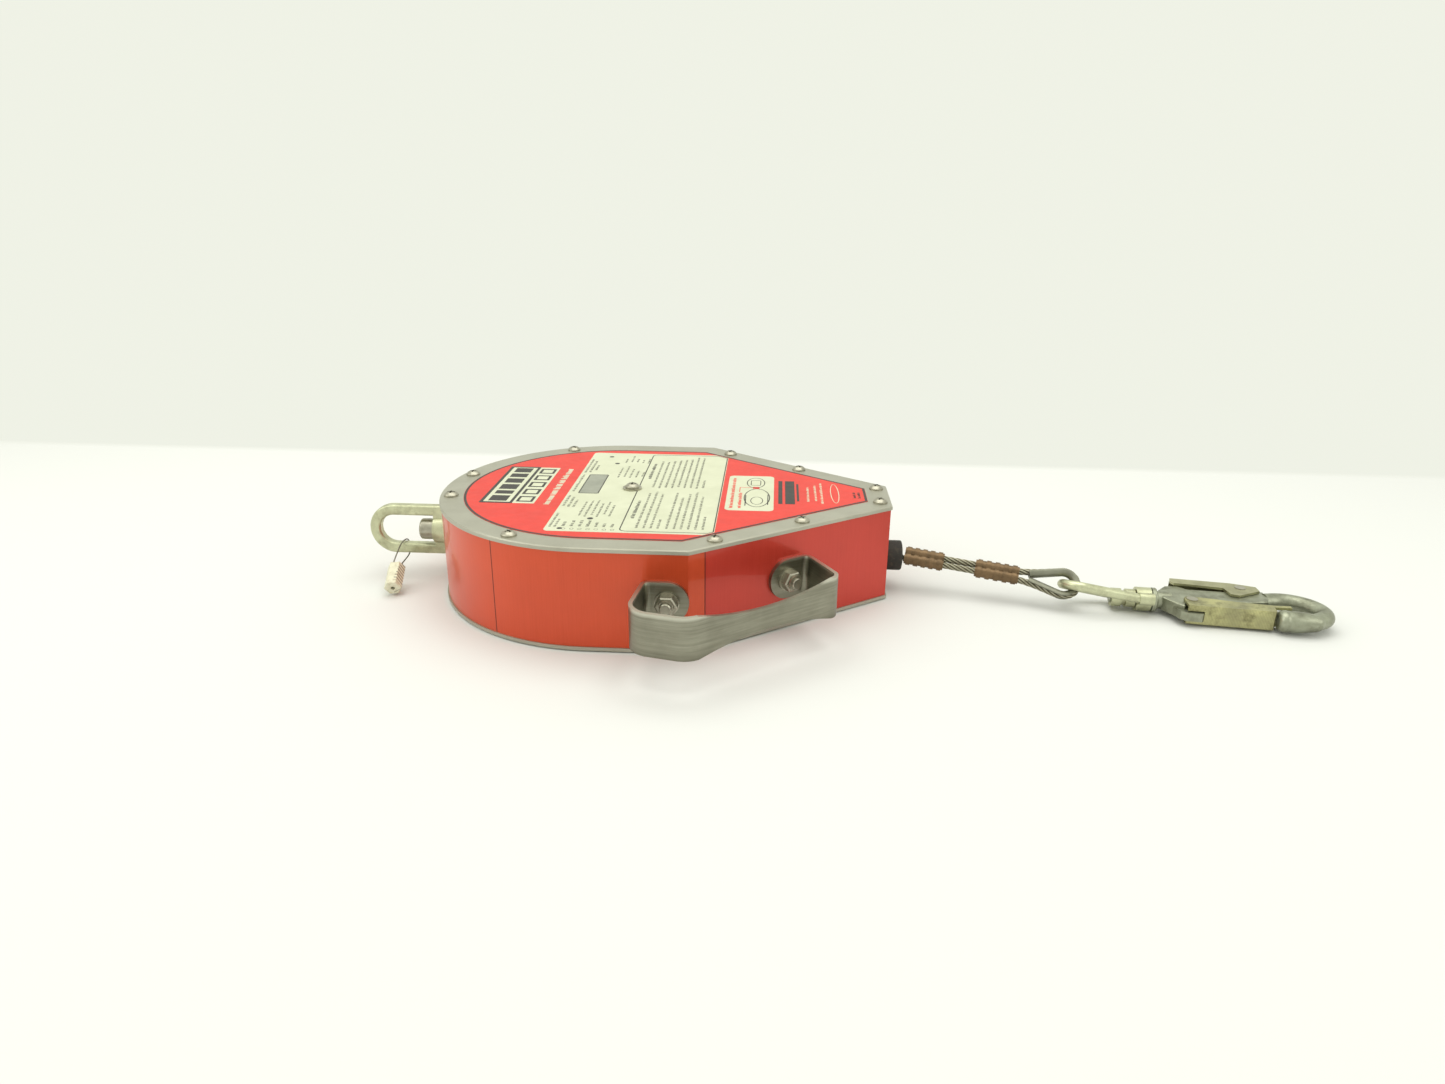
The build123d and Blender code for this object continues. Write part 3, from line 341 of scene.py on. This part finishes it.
def strip_finish():
    """Heavy bent strip: faint drawn streaks, dull grey faces, a painted highlight along the top edge, and
    darker towards the bottom.
    """
    n = Nodes("stainless_strip", metal=0.95)
    streaks = n.noise(520, 3, 0.6, n.mapped((0.06, 0.06, 1.6)))
    cloud = n.noise(32, 5, 0.6)
    tone = n.mix(n.ramp(streaks, [(0.30, (0,)), (0.70, (1,))]), (0.235, 0.228, 0.175), (0.335, 0.328, 0.26))
    tone = n.mix(n.ramp(cloud, [(0.35, (0.45,)), (0.65, (0,))]), tone, (0.15, 0.143, 0.105))
    height = n.math("ADD", n.place()[2], n.math("MULTIPLY", cloud, 0.002))
    level = n.math("MULTIPLY", height, 10.0)
    # darker towards the bottom of the strip, with a ragged boundary from the cloud noise
    tone = n.mix(n.ramp(level, [(0.24, (0.5,)), (0.31, (0,))]), tone, (0.10, 0.092, 0.065))
    # painted highlight: a light band along the top edge of the strip, standing for the light its rolled edge
    # catches
    tone = n.mix(n.ramp(level, [(0.495, (0,)), (0.512, (0.8,))]), tone, (0.60, 0.59, 0.50))
    n.base(tone)
    n.rough(streaks, 0.26, 0.42)
    n.bump(streaks, 0.15, 0.00008)
    return n.mat


def gate_finish():
    """Yellow passivated sheet with fine upright serrations, shown by dark lines of painted shade."""
    n = Nodes("gate_serrated", metal=0.85)
    pitch = 0.00095
    lines = n.math("SINE", n.math("MULTIPLY", n.place()[0], 2 * math.pi / pitch))
    cloud = n.noise(55, 5, 0.6)
    tone = n.mix(n.ramp(cloud, [(0.35, (0,)), (0.65, (1,))]), (0.36, 0.345, 0.19), (0.60, 0.58, 0.29))
    # painted shade: dark lines along the serrations, standing for the shade of their grooves
    tone = n.mix(n.math("MULTIPLY", n.math("ADD", lines, 1.0), 0.15), tone, (0.115, 0.10, 0.045))
    stain = n.ramp(n.noise(95, 6, 0.65), [(0.50, (0,)), (0.68, (0.65,))])
    n.base(n.mix(stain, tone, (0.085, 0.07, 0.035)))
    n.rough(cloud, 0.30, 0.52)
    n.bump(lines, 0.4, 0.00010)
    return n.mat


def rope_finish():
    """Galvanised strands: painted shade in the grooves, lighter on the strands' crowns, wires along each
    strand, patches of tarnish.
    """
    n = Nodes("rope_strands", metal=0.85)
    split = n.new("ShaderNodeSeparateXYZ")
    n.link(n.new("ShaderNodeUVMap", uv_map="along").outputs["UV"], split.inputs[0])
    around, along = split.outputs["X"], split.outputs["Y"]
    phase = n.math("MULTIPLY", n.math("SUBTRACT", around, along), 6 * math.pi)
    ridge = n.math("ABSOLUTE", n.math("SINE", phase))
    # painted shade: darkest in the grooves between the strands and lightest on their crowns
    tone = n.ramp(ridge, [(0.10, (0.035, 0.030, 0.018)), (0.55, (0.20, 0.185, 0.125)),
                          (0.95, (0.44, 0.42, 0.31))])
    wires = n.math("SINE", n.math("MULTIPLY", around, 2 * math.pi * 54))
    tone = n.mix(n.math("MULTIPLY", n.math("ADD", wires, 1.0), 0.14), tone, (0.08, 0.07, 0.045))
    tone = n.mix(n.ramp(n.noise(260, 6, 0.7), [(0.5, (0,)), (0.7, (0.5,))]), tone, (0.09, 0.06, 0.03))
    n.base(tone)
    n.rough(ridge, 0.55, 0.34)
    n.bump(wires, 0.25, 0.00006)
    return n.mat


def moulded(name, colour, shade, rough=0.55, scale=700, dirt=None):
    """Moulded plastic or rubber: soft tone changes, a fine skin texture and a little dirt."""
    n = Nodes(name, rough=rough, spec=0.4)
    cloud = n.noise(90, 4, 0.6)
    tone = n.mix(n.ramp(cloud, [(0.35, (0,)), (0.7, (1,))]), shade, colour)
    if dirt:
        stain = n.ramp(n.noise(260, 8, 0.7, distort=0.5), [(0.52, (0,)), (0.66, (0.85,))])
        tone = n.mix(stain, tone, dirt)
    skin = n.noise(scale, 3, 0.6)
    n.base(tone)
    n.rough(skin, rough - 0.08, rough + 0.12)
    n.bump(skin, 0.25, 0.0001)
    return n.mat


def tag_finish():
    """Aged white plastic with a column of dark ticks along one side of the barrel."""
    n = Nodes("white_plastic_ticks", rough=0.45, spec=0.4)
    pitch, side_x, end_y = 0.0028, -0.1712, -0.0470
    x, y, _ = n.place()
    wave = n.math("SINE", n.math("MULTIPLY", y, 2 * math.pi / pitch))
    step = [(0.2, (0,)), (0.6, (1,))]
    side = n.ramp(n.math("MULTIPLY", n.math("ADD", x, -side_x), 1000.0), step)
    end = n.ramp(n.math("MULTIPLY", n.math("ADD", y, -end_y), 1000.0), step)
    ticks = n.math("MULTIPLY", n.ramp(wave, [(0.35, (0,)), (0.6, (0.75,))]), n.math("MULTIPLY", side, end))
    age = n.ramp(n.noise(260, 6, 0.7), [(0.45, (0,)), (0.7, (1,))])
    n.base(n.mix(ticks, n.mix(age, (0.74, 0.725, 0.56), (0.56, 0.52, 0.37)), (0.08, 0.06, 0.05)))
    skin = n.noise(900, 3, 0.6)
    n.rough(skin, 0.37, 0.57)
    n.bump(skin, 0.25, 0.0001)
    return n.mat


def print_ink(name, colour, shade, rough=0.45, wear=None, coat=0.0):
    """Printed film: even ink with faint mottling, thin scuffs and slight gloss changes."""
    n = Nodes(name, rough=rough, coat=coat, spec=0.45)
    tone = n.mix(n.ramp(n.noise(60, 5, 0.6), [(0.35, (0,)), (0.7, (1,))]), shade, colour)
    if wear:
        rub = n.noise(500, 6, 0.75, n.mapped((1, 0.25, 1), (0, 0, 0.5)))
        tone = n.mix(n.ramp(rub, [(0.66, (0,)), (0.74, (0.8,))]), tone, wear)
    n.base(tone)
    n.rough(n.noise(180, 4, 0.6), rough - 0.08, rough + 0.10)
    return n.mat


M = {
    "stainless": metal("stainless_plate", (0.50, 0.49, 0.41), (0.40, 0.39, 0.32), rough=(0.34, 0.50),
                       grain=(0.08, 1, 1), grime=(0.22, 0.20, 0.15), amount=0.18, spots=30, fine=1300,
                       metallic=0.8, bump=0.10),
    "strip": strip_finish(),
    "bolt": metal("bright_zinc", (0.50, 0.48, 0.39), (0.32, 0.30, 0.24), rough=(0.24, 0.42),
                  grime=(0.12, 0.10, 0.06), amount=0.35, spots=120, fine=1500),
    "yellow": metal("yellow_zinc", (0.66, 0.68, 0.46), (0.42, 0.42, 0.27), rough=(0.26, 0.46),
                    grime=(0.12, 0.09, 0.035), amount=0.55, spots=75, metallic=0.8, bump=0.25),
    "forged": metal("forged_zinc", (0.44, 0.46, 0.35), (0.17, 0.17, 0.115), rough=(0.26, 0.5),
                    grime=(0.07, 0.065, 0.04), amount=0.60, spots=95, fine=420, metallic=0.8, bump=1.0),
    "gate": gate_finish(),
    "gate_plain": metal("gate_sheet", (0.50, 0.49, 0.30), (0.32, 0.31, 0.18), rough=(0.26, 0.46),
                        grain=(1, 0.2, 0.2), grime=(0.075, 0.06, 0.03), amount=0.42, spots=70,
                        metallic=0.85, bump=0.25),
    "copper": metal("aged_copper", (0.235, 0.150, 0.078), (0.125, 0.082, 0.042), rough=(0.34, 0.58),
                    grime=(0.05, 0.038, 0.025), amount=0.45, spots=130, metallic=0.7, bump=0.35),
    "thimble": metal("galvanised_sheet", (0.30, 0.30, 0.235), (0.19, 0.19, 0.145), rough=(0.36, 0.56),
                     grime=(0.08, 0.07, 0.045), amount=0.3, spots=90, metallic=0.75, bump=0.25),
    "steel": metal("machined_steel", (0.50, 0.50, 0.50), (0.36, 0.36, 0.36), rough=(0.22, 0.4),
                   spots=80, fine=1200, metallic=0.95, bump=0.1),
    "spring": metal("blued_strip", (0.10, 0.11, 0.14), (0.05, 0.05, 0.06), rough=(0.25, 0.4),
                    grain=(1, 1, 0.1), spots=80, metallic=0.95, bump=0.1),
    "bronze": metal("bronze", (0.55, 0.36, 0.14), (0.36, 0.22, 0.09), rough=(0.25, 0.45),
                    grime=(0.12, 0.08, 0.04), amount=0.2, spots=90),
    "wire": metal("tag_wire_steel", (0.25, 0.24, 0.20), (0.12, 0.115, 0.09), rough=(0.3, 0.5),
                  spots=500, fine=2000, metallic=0.85, bump=0.2),
    "rope": rope_finish(),
    "rope_plain": metal("rope_inside", (0.36, 0.34, 0.25), (0.20, 0.185, 0.13), rough=(0.32, 0.55),
                        grime=(0.07, 0.055, 0.035), amount=0.34, spots=300, fine=2600, metallic=0.8,
                        bump=0.6),
    "wall_round": wall_finish("red_lacquer_round", (0.62, 0.062, 0.010), (0.52, 0.050, 0.008)),
    "wall_flat": wall_finish("red_lacquer_flat", (0.55, 0.034, 0.016), (0.46, 0.028, 0.013)),
    "rubber": moulded("black_rubber", (0.035, 0.032, 0.026), (0.018, 0.017, 0.014), 0.62, 900,
                      (0.06, 0.052, 0.036)),
    "white": tag_finish(),
    "nylon": moulded("nylon", (0.75, 0.72, 0.62), (0.62, 0.60, 0.50), 0.5, 700),
    "lining": moulded("friction_lining", (0.12, 0.10, 0.08), (0.07, 0.06, 0.05), 0.8, 1500,
                      (0.2, 0.17, 0.13)),
    "label_red": print_ink("label_red", (0.70, 0.034, 0.020), (0.62, 0.028, 0.017), wear=(0.78, 0.11, 0.07)),
    "label_cream": print_ink("label_cream", (0.62, 0.635, 0.475), (0.56, 0.575, 0.42),
                             wear=(0.47, 0.44, 0.31)),
    "label_black": print_ink("label_black", (0.016, 0.015, 0.013), (0.028, 0.025, 0.020),
                             wear=(0.09, 0.075, 0.06)),
    "label_grey": print_ink("label_grey", (0.30, 0.31, 0.25), (0.24, 0.25, 0.20), coat=0.15),
    "label_text": print_ink("label_text", (0.06, 0.06, 0.048), (0.10, 0.10, 0.075), rough=0.5, coat=0.15),
}

FINISH = {
    "stainless": "bottom_plate top_plate",
    "wall_round": "rear_wall side_wall_near side_wall_far",
    "wall_flat": "nose_wall",
    "strip": "handle",
    "bolt": "top_screws bottom_screws centre_washer centre_screw swivel_bolt swivel_nut swivel_washer "
            "handle_washers handle_nuts handle_bolts hook_rivets",
    "label_red": "rating_label",
    "yellow": "bail swivel_eye swivel_nut_rings",
    "forged": "hook_body",
    "gate": "hook_gate",
    "gate_plain": "lock_lever",
    "copper": "sleeve_inner sleeve_outer",
    "thimble": "thimble",
    "rope_plain": "rope_lead outer_rope wound_rope",
    "rubber": "bumper",
    "white": "tag_barrel",
    "wire": "tag_wire",
    "nylon": "guide_roller_a guide_roller_b",
    "lining": "friction_disc_lower friction_disc_upper",
    "bronze": "drum_bush_lower drum_bush_upper ratchet_wheel",
    "spring": "power_spring pawl_springs",
    "steel": "screw_posts main_shaft anchor_bracket spring_arbor brake_hub pressure_plate brake_studs "
             "brake_nuts guide_pins drum upper_flange spring_cover cover_screws pawl_pins pawl_a pawl_b",
}
for finish, names in FINISH.items():
    for name in names.split():
        for slot in nodes[name].material_slots:
            slot.material = M[finish]


# ---------------- ropes and wire ----------------
def rope_end_frame():
    """Origin and directions of the rope end: along the ropes, and across them in the plane of the loop."""
    plan, slope, lean = math.radians(-13.5), math.radians(4.2), math.radians(43)
    along = Vector((math.cos(plan) * math.cos(slope), math.sin(plan) * math.cos(slope), -math.sin(slope)))
    flat = Vector((-math.sin(plan), math.cos(plan), 0))
    across = flat * math.cos(lean) + along.cross(flat) * math.sin(lean)
    mouth = Vector((0.203, -0.003808, 0.0248))
    return mouth, mouth + across * ROPE_GAP, along, across


MOUTH, END, ALONG, ACROSS = rope_end_frame()


def rope_route():
    """Control points of the rope end: out through both sleeves, round the loop and back."""
    gap, leave = ROPE_GAP, LOOP_LEAVE
    reach = LOOP_CENTRE - leave
    touch = math.pi - math.atan2(gap, reach) - math.acos(LOOP_R / math.hypot(reach, gap))
    wedge = touch / 3
    rc = LOOP_R / math.cos(wedge)
    near = math.hypot(LOOP_CENTRE + rc * math.cos(2 * wedge) - leave, rc * math.sin(2 * wedge) - gap)
    pts = [(0.00035, -gap), (leave - near, -gap), (leave, -gap)]
    pts += [(LOOP_CENTRE + rc * math.cos(a), rc * math.sin(a)) for a in (-2 * wedge, 0, 2 * wedge)]
    pts += [(leave, gap), (leave - near, gap), (0.0035, gap)]
    return [END + ALONG * a + ACROSS * b for a, b in pts]


def make_rope():
    line = line_points(nurbs_line("rope_route", rope_route(), 40))
    path = even(line, STEP)
    rope = strand_tube("lifeline_rope", path, ROPE_R, ROPE_LAY, material=M["rope"])
    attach(rope, "lifeline")
    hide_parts("outer_rope")


# route of the tag wire over the bail's lower bar, in millimetres
WIRE_POINTS = [
    (-178.2, -27.9, 15.2), (-178.2, -14.0, 22.6), (-178.0, -4.0, 26.6), (-177.0, 6.4, 25.6),
    (-176.0, 6.6, 15.8), (-174.6, -3.6, 14.6), (-173.8, -14.0, 14.9), (-173.8, -26.4, 13.6),
]


def make_tag_wire():
    wire = nurbs_line("tag_wire_loop", [(x / 1000, y / 1000, z / 1000) for x, y, z in WIRE_POINTS], 24)
    wire.data.bevel_depth = WIRE_R
    wire.data.bevel_resolution = 4
    wire.data.use_fill_caps = True
    wire.data.materials.append(M["wire"])
    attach(wire, "tag")
    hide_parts("tag_wire")


make_rope()
make_tag_wire()


# ---------------- printed film on the top plate ----------------
class Film:
    """Thin printed shapes on the label, in millimetres of its plan, gathered into one mesh."""

    def __init__(self, height):
        self.low, self.high = LABEL_TOP, LABEL_TOP + height
        self.verts, self.faces = [], []

    def prism(self, ring, hole=None):
        n = len(ring)
        base = len(self.verts)
        loops = [ring] if hole is None else [ring, hole]
        for z in (self.low, self.high):
            for loop in loops:
                self.verts += [(x / 1000, y / 1000, z) for x, y in loop]
        if hole is None:
            self.faces.append(tuple(base + i for i in range(n - 1, -1, -1)))
            self.faces.append(tuple(base + n + i for i in range(n)))
            for i in range(n):
                j = (i + 1) % n
                self.faces.append((base + i, base + j, base + n + j, base + n + i))
            return
        a, b, c, d = base, base + n, base + 2 * n, base + 3 * n
        for i in range(n):
            j = (i + 1) % n
            self.faces += [(a + i, a + j, c + j, c + i), (b + j, b + i, d + i, d + j),
                           (c + i, c + j, d + j, d + i), (a + j, a + i, b + i, b + j)]

    def box(self, x0, y0, x1, y1):
        self.prism([(x0, y0), (x1, y0), (x1, y1), (x0, y1)])

    def disc(self, x, y, r, n=20):
        turn = [2 * math.pi * i / n for i in range(n)]
        self.prism([(x + r * math.cos(a), y + r * math.sin(a)) for a in turn])

    def rounded(self, x0, y0, x1, y1, r, line=0.0):
        """A rounded rectangle, or its outline where line is the outline's width."""
        outer = rounded_ring(x0, y0, x1, y1, r)
        if line:
            self.prism(outer, rounded_ring(x0 + line, y0 + line, x1 - line, y1 - line, max(r - line, 0.05)))
        else:
            self.prism(outer)

    def ellipse_ring(self, x, y, rx, ry, line, n=36):
        turn = [2 * math.pi * i / n for i in range(n)]
        self.prism([(x + rx * math.cos(a), y + ry * math.sin(a)) for a in turn],
                   [(x + (rx - line) * math.cos(a), y + (ry - line) * math.sin(a)) for a in turn])

    def row(self, x, y0, y1, height, dark=0.34, word=(2.2, 6.5), gap=1.0):
        """A line of small print along y: groups of short ticks, which say nothing."""
        y = y0
        while y < y1:
            end = min(y + rnd.uniform(*word), y1)
            while y < end - 0.3:
                w = rnd.choice((dark, dark, dark * 1.6))
                h = height * rnd.choice((0.72, 0.72, 1.0, 0.86))
                self.box(x - h, y, x, y + w)
                if rnd.random() < 0.45:
                    s = x - h * rnd.choice((0.5, 0.95, 0.2))
                    self.box(s - 0.12, y + w, s + 0.12, y + w + 0.32)
                y += w + 0.38
            y = end + gap

    def build(self, name, material):
        ob = mesh_object(name, self.verts, self.faces, smooth=False, material=material)
        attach(ob, "housing")


def rounded_ring(x0, y0, x1, y1, r, n=6):
    pts = []
    corners = ((x1 - r, y1 - r, 0), (x0 + r, y1 - r, 90), (x0 + r, y0 + r, 180), (x1 - r, y0 + r, 270))
    for cx, cy, a0 in corners:
        for i in range(n + 1):
            a = math.radians(a0 + 90 * i / n)
            pts.append((cx + r * math.cos(a), cy + r * math.sin(a)))
    return pts


def plate_outline(inset, steps=72):
    """Plan of the housing moved inward, starting at the nose's near corner."""
    ox, oy = math.sin(TAPER), math.cos(TAPER)
    c = ox * CORNER_X + oy * ROUND_R
    r = ROUND_R - inset
    cx = (c - inset - oy * r) / ox
    nx = NOSE_X - inset
    ny = (c - inset - ox * nx) / oy
    arc = [math.radians(90 + 180 * i / steps) for i in range(steps + 1)]
    round_end = [(ROUND_X + r * math.cos(a), r * math.sin(a)) for a in arc]
    return [(nx, -ny), (nx, ny), (cx, r)] + round_end + [(cx, -r)]


def clipped(ring, inset):
    """The part of a convex ring that lies inside the tapered sides of the plate, moved inward by inset."""
    for side in (1, -1):
        nx, ny = math.sin(TAPER), side * math.cos(TAPER)
        c = nx * CORNER_X + math.cos(TAPER) * ROUND_R - inset
        out = []
        for (ax, ay), (bx, by) in zip(ring, ring[1:] + ring[:1]):
            da, db = nx * ax + ny * ay - c, nx * bx + ny * by - c
            if da <= 0:
                out.append((ax, ay))
            if da * db < 0:
                t = da / (da - db)
                out.append((ax + (bx - ax) * t, ay + (by - ay) * t))
        ring = out
    return ring


def label_edge_line():
    edge = Film(THIN_INK)
    edge.prism(plate_outline(17.15), plate_outline(18.9))
    edge.build("label_edge_line", M["label_black"])


def label_cream_fields():
    cream = Film(THIN_INK)
    cream.prism(clipped(rounded_ring(-45.5, -96, 67, 98, 3.5), 19.6))
    cream.rounded(-80.2, -41, -64.5, 49.5, 0.8)
    cream.rounded(-101.6, -38.8, -82.4, 48, 0.8)
    cream.rounded(70.8, -44, 105.2, 40.5, 4)
    cream.row(-53.5, -42, 49, 4.6, dark=1.0, word=(5, 14), gap=2.2)
    for x, y0, y1 in ((131, -20, 14), (136.5, -18, 20), (141, -24, 25)):
        cream.row(x, y0, y1, 1.9, dark=0.5)
    cream.ellipse_ring(150, 1, 3.2, 23, 0.55)
    cream.build("label_cream_fields", M["label_cream"])


def label_serial_field():
    grey = Film(THICK_INK)
    grey.rounded(-37.5, -13.5, -23.8, 33.5, 1.2)
    grey.build("label_serial_field", M["label_grey"])


def title_bars(dark):
    """Plain bars and open boxes in place of the title, and three bars in place of the maker's sign."""
    starts = (0, 15.3, 26.0, 40.8, 54.6, 66.8)
    widths = (12.5, 8.0, 12.0, 11.0, 9.5, 11.5)
    spread = 1.07
    for start, wide in zip(starts, widths):
        y = -36.6 + start * spread
        dark.box(-98.6, y, -85.4, y + wide)
    for i in range(5):
        y = -37.5 + i * 17.6
        dark.prism(rounded_ring(-78.4, y, -66.4, y + 12.6, 0.3),
                   rounded_ring(-76.4, y + 2.2, -68.4, y + 10.4, 0.2))
    dark.box(108.5, -27, 111.5, 29)
    dark.box(113.5, -27, 120.5, 29)
    dark.box(122.0, -20, 123.6, 22)


def label_dark_marks():
    dark = Film(THICK_INK)
    dark.prism(rounded_ring(-104, -41.5, -80.2, 50.5, 0.8), rounded_ring(-101.6, -38.8, -82.4, 48, 0.8))
    dark.rounded(-38.2, -14.2, -23.1, 34.2, 1.6, 0.8)
    dark.prism(clipped(rounded_ring(4, -93, 66.6, 95.5, 4.5), 20.2),
               clipped(rounded_ring(4.8, -92.2, 65.8, 94.7, 3.7), 20.9))
    title_bars(dark)
    for x in (165, 168.5):
        dark.row(x, -9, 5, 2.0, dark=0.5)
    for x, y, r in ((-29.5, 86, 1.9), (-21.8, 66.5, 1.9), (-18.8, -69.5, 2.1), (-35.4, -90.5, 1.8)):
        dark.disc(x, y, r)
    dark.ellipse_ring(93, -14, 9.6, 21.5, 0.75)
    dark.ellipse_ring(93, -21, 4.6, 9.0, 0.6)
    dark.ellipse_ring(91.5, 22.5, 7.0, 13.0, 0.7)
    dark.rounded(87.6, 16, 95.4, 29, 1.6, 0.6)
    dark.box(84.5, -33, 85.2, -9)
    dark.box(100.6, -30, 101.3, -6)
    dark.build("label_dark_marks", M["label_black"])


# rows of small print: place of the row, then where it starts and ends
UPPER_ROWS = ((15.6, 5, 76), (20.4, 3, 74), (25.1, 5, 78), (29.8, 4, 80), (34.4, 7, 82), (39.0, 5, 84),
              (43.7, 6, 90), (48.3, 4, 88), (53.0, 6, 25))
LOWER_ROWS = ((15.6, -86, -10), (20.4, -86, -6), (25.1, -86, -11), (29.8, -86, -67), (35.6, -86, -7),
              (40.6, -86, -19), (45.2, -86, -10), (50.0, -86, -5), (54.8, -86, -15), (59.6, -86, -60))
SIDE_ROWS = ((-42.0, 39, 77), (-38.4, 40, 72), (-34.8, 46, 60), (-41.5, -10, 33), (-41.8, -44, -20),
             (-38.0, -46, -22), (-34.4, -46, -30), (-41.8, -88, -60), (-38.4, -88, -72))


def text_block(text, first_x, pitch, spans):
    """Evenly spaced rows: each span is the start and end of one row."""
    for i, (y0, y1) in enumerate(spans):
        text.row(first_x + pitch * i, y0, y1, 1.7)


def label_small_print():
    text = Film(THICK_INK)
    for x, y0, y1 in UPPER_ROWS + LOWER_ROWS:
        text.row(x, y0, y1, 1.9)
    text.row(10.6, 26, 68, 2.6, dark=0.8)
    text.row(10.6, -67, -28, 2.6, dark=0.8)
    text_block(text, -14.6, 4.6, ((28, 55), (30, 60), (28, 52), (29, 47), (32, 44)))
    text_block(text, -14.6, 4.6, ((70, 80), (72, 90), (72, 81), (70, 78), (69, 82)))
    text_block(text, -27.0, 4.2, ((-64, -34), (-66, -31), (-62, -30), (-66, -36), (-60, -33), (-64, -40)))
    for k in range(7):
        text.row(-33.0 + 5.4 * k, -86, rnd.uniform(-79, -72), 2.2, dark=0.5)
        text.rounded(-34.0 + 5.4 * k, -92.5, -31.4 + 5.4 * k, -89.6, 1.2, 0.3)
    for x, y0, y1 in SIDE_ROWS:
        text.row(x, y0, y1, 2.0)
    text.build("label_small_print", M["label_text"])


def label_red_marks():
    red = Film(THICK_INK)
    red.row(76.2, -39, 34, 2.6, dark=0.8)
    red.row(82.0, -39, -3, 2.6, dark=0.8)
    red.box(89.5, 7.5, 94.5, 12)
    red.box(79.6, -1.5, 80.2, 10)
    red.box(79.6, 10, 88.4, 10.6)
    red.build("label_red_marks", M["label_red"])


label_edge_line()
label_cream_fields()
label_serial_field()
label_dark_marks()
label_small_print()
label_red_marks()


# ---------------- floor and light ----------------
def make_stage():
    """A plain pale floor that turns into a backdrop of the world's own colour."""
    n = Nodes("studio_white", rough=1.0, spec=0.0)
    past = n.math("MULTIPLY", n.math("SUBTRACT", n.place()[1], BACKDROP_Y), 20.0)
    far = n.ramp(past, [(0.0, (0,)), (0.35, (1,))])
    floor = n.mix(n.noise(1.6, 3, 0.5), (0.715, 0.715, 0.708), (0.73, 0.73, 0.723))
    n.base(n.mix(far, floor, (0.0, 0.0, 0.0)))
    n.bsdf.inputs["Emission Color"].default_value = (0.868, 0.888, 0.79, 1)
    n.link(far, n.bsdf.inputs["Emission Strength"])
    corners = [(-9, -6, FLOOR_Z), (9, -6, FLOOR_Z), (9, 30, FLOOR_Z), (-9, 30, FLOOR_Z)]
    ob = mesh_object("studio_floor", corners, [(0, 1, 2, 3)], smooth=False, material=n.mat)

    world = bpy.data.worlds.new("studio")
    world.use_nodes = True
    bg = world.node_tree.nodes["Background"]
    bg.inputs["Color"].default_value = (0.914, 0.935, 0.832, 1)
    bg.inputs["Strength"].default_value = 0.95
    bpy.context.scene.world = world


def area_light(name, place, target, size, power, colour=(1, 1, 1)):
    light = bpy.data.lights.new(name, "AREA")
    light.shape = "RECTANGLE"
    light.size, light.size_y = size
    light.energy = power
    light.color = colour
    ob = bpy.data.objects.new(name, light)
    ob.location = place
    ob.rotation_mode = "QUATERNION"
    ob.rotation_quaternion = (Vector(target) - Vector(place)).to_track_quat("-Z", "Y")
    bpy.context.collection.objects.link(ob)


make_stage()
bpy.context.scene.view_settings.view_transform = "Standard"
area_light("overhead", (0.05, 0.1, 1.35), (0.05, 0, 0), (1.5, 1.2), 11, (1, 1, 0.95))
area_light("left_bank", (-1.2, -0.5, 0.9), (0, 0, 0), (0.9, 0.8), 4, (1, 1, 0.96))
area_light("right_bank", (1.4, -0.6, 0.8), (0.1, 0, 0), (0.9, 0.8), 3, (1, 1, 0.96))
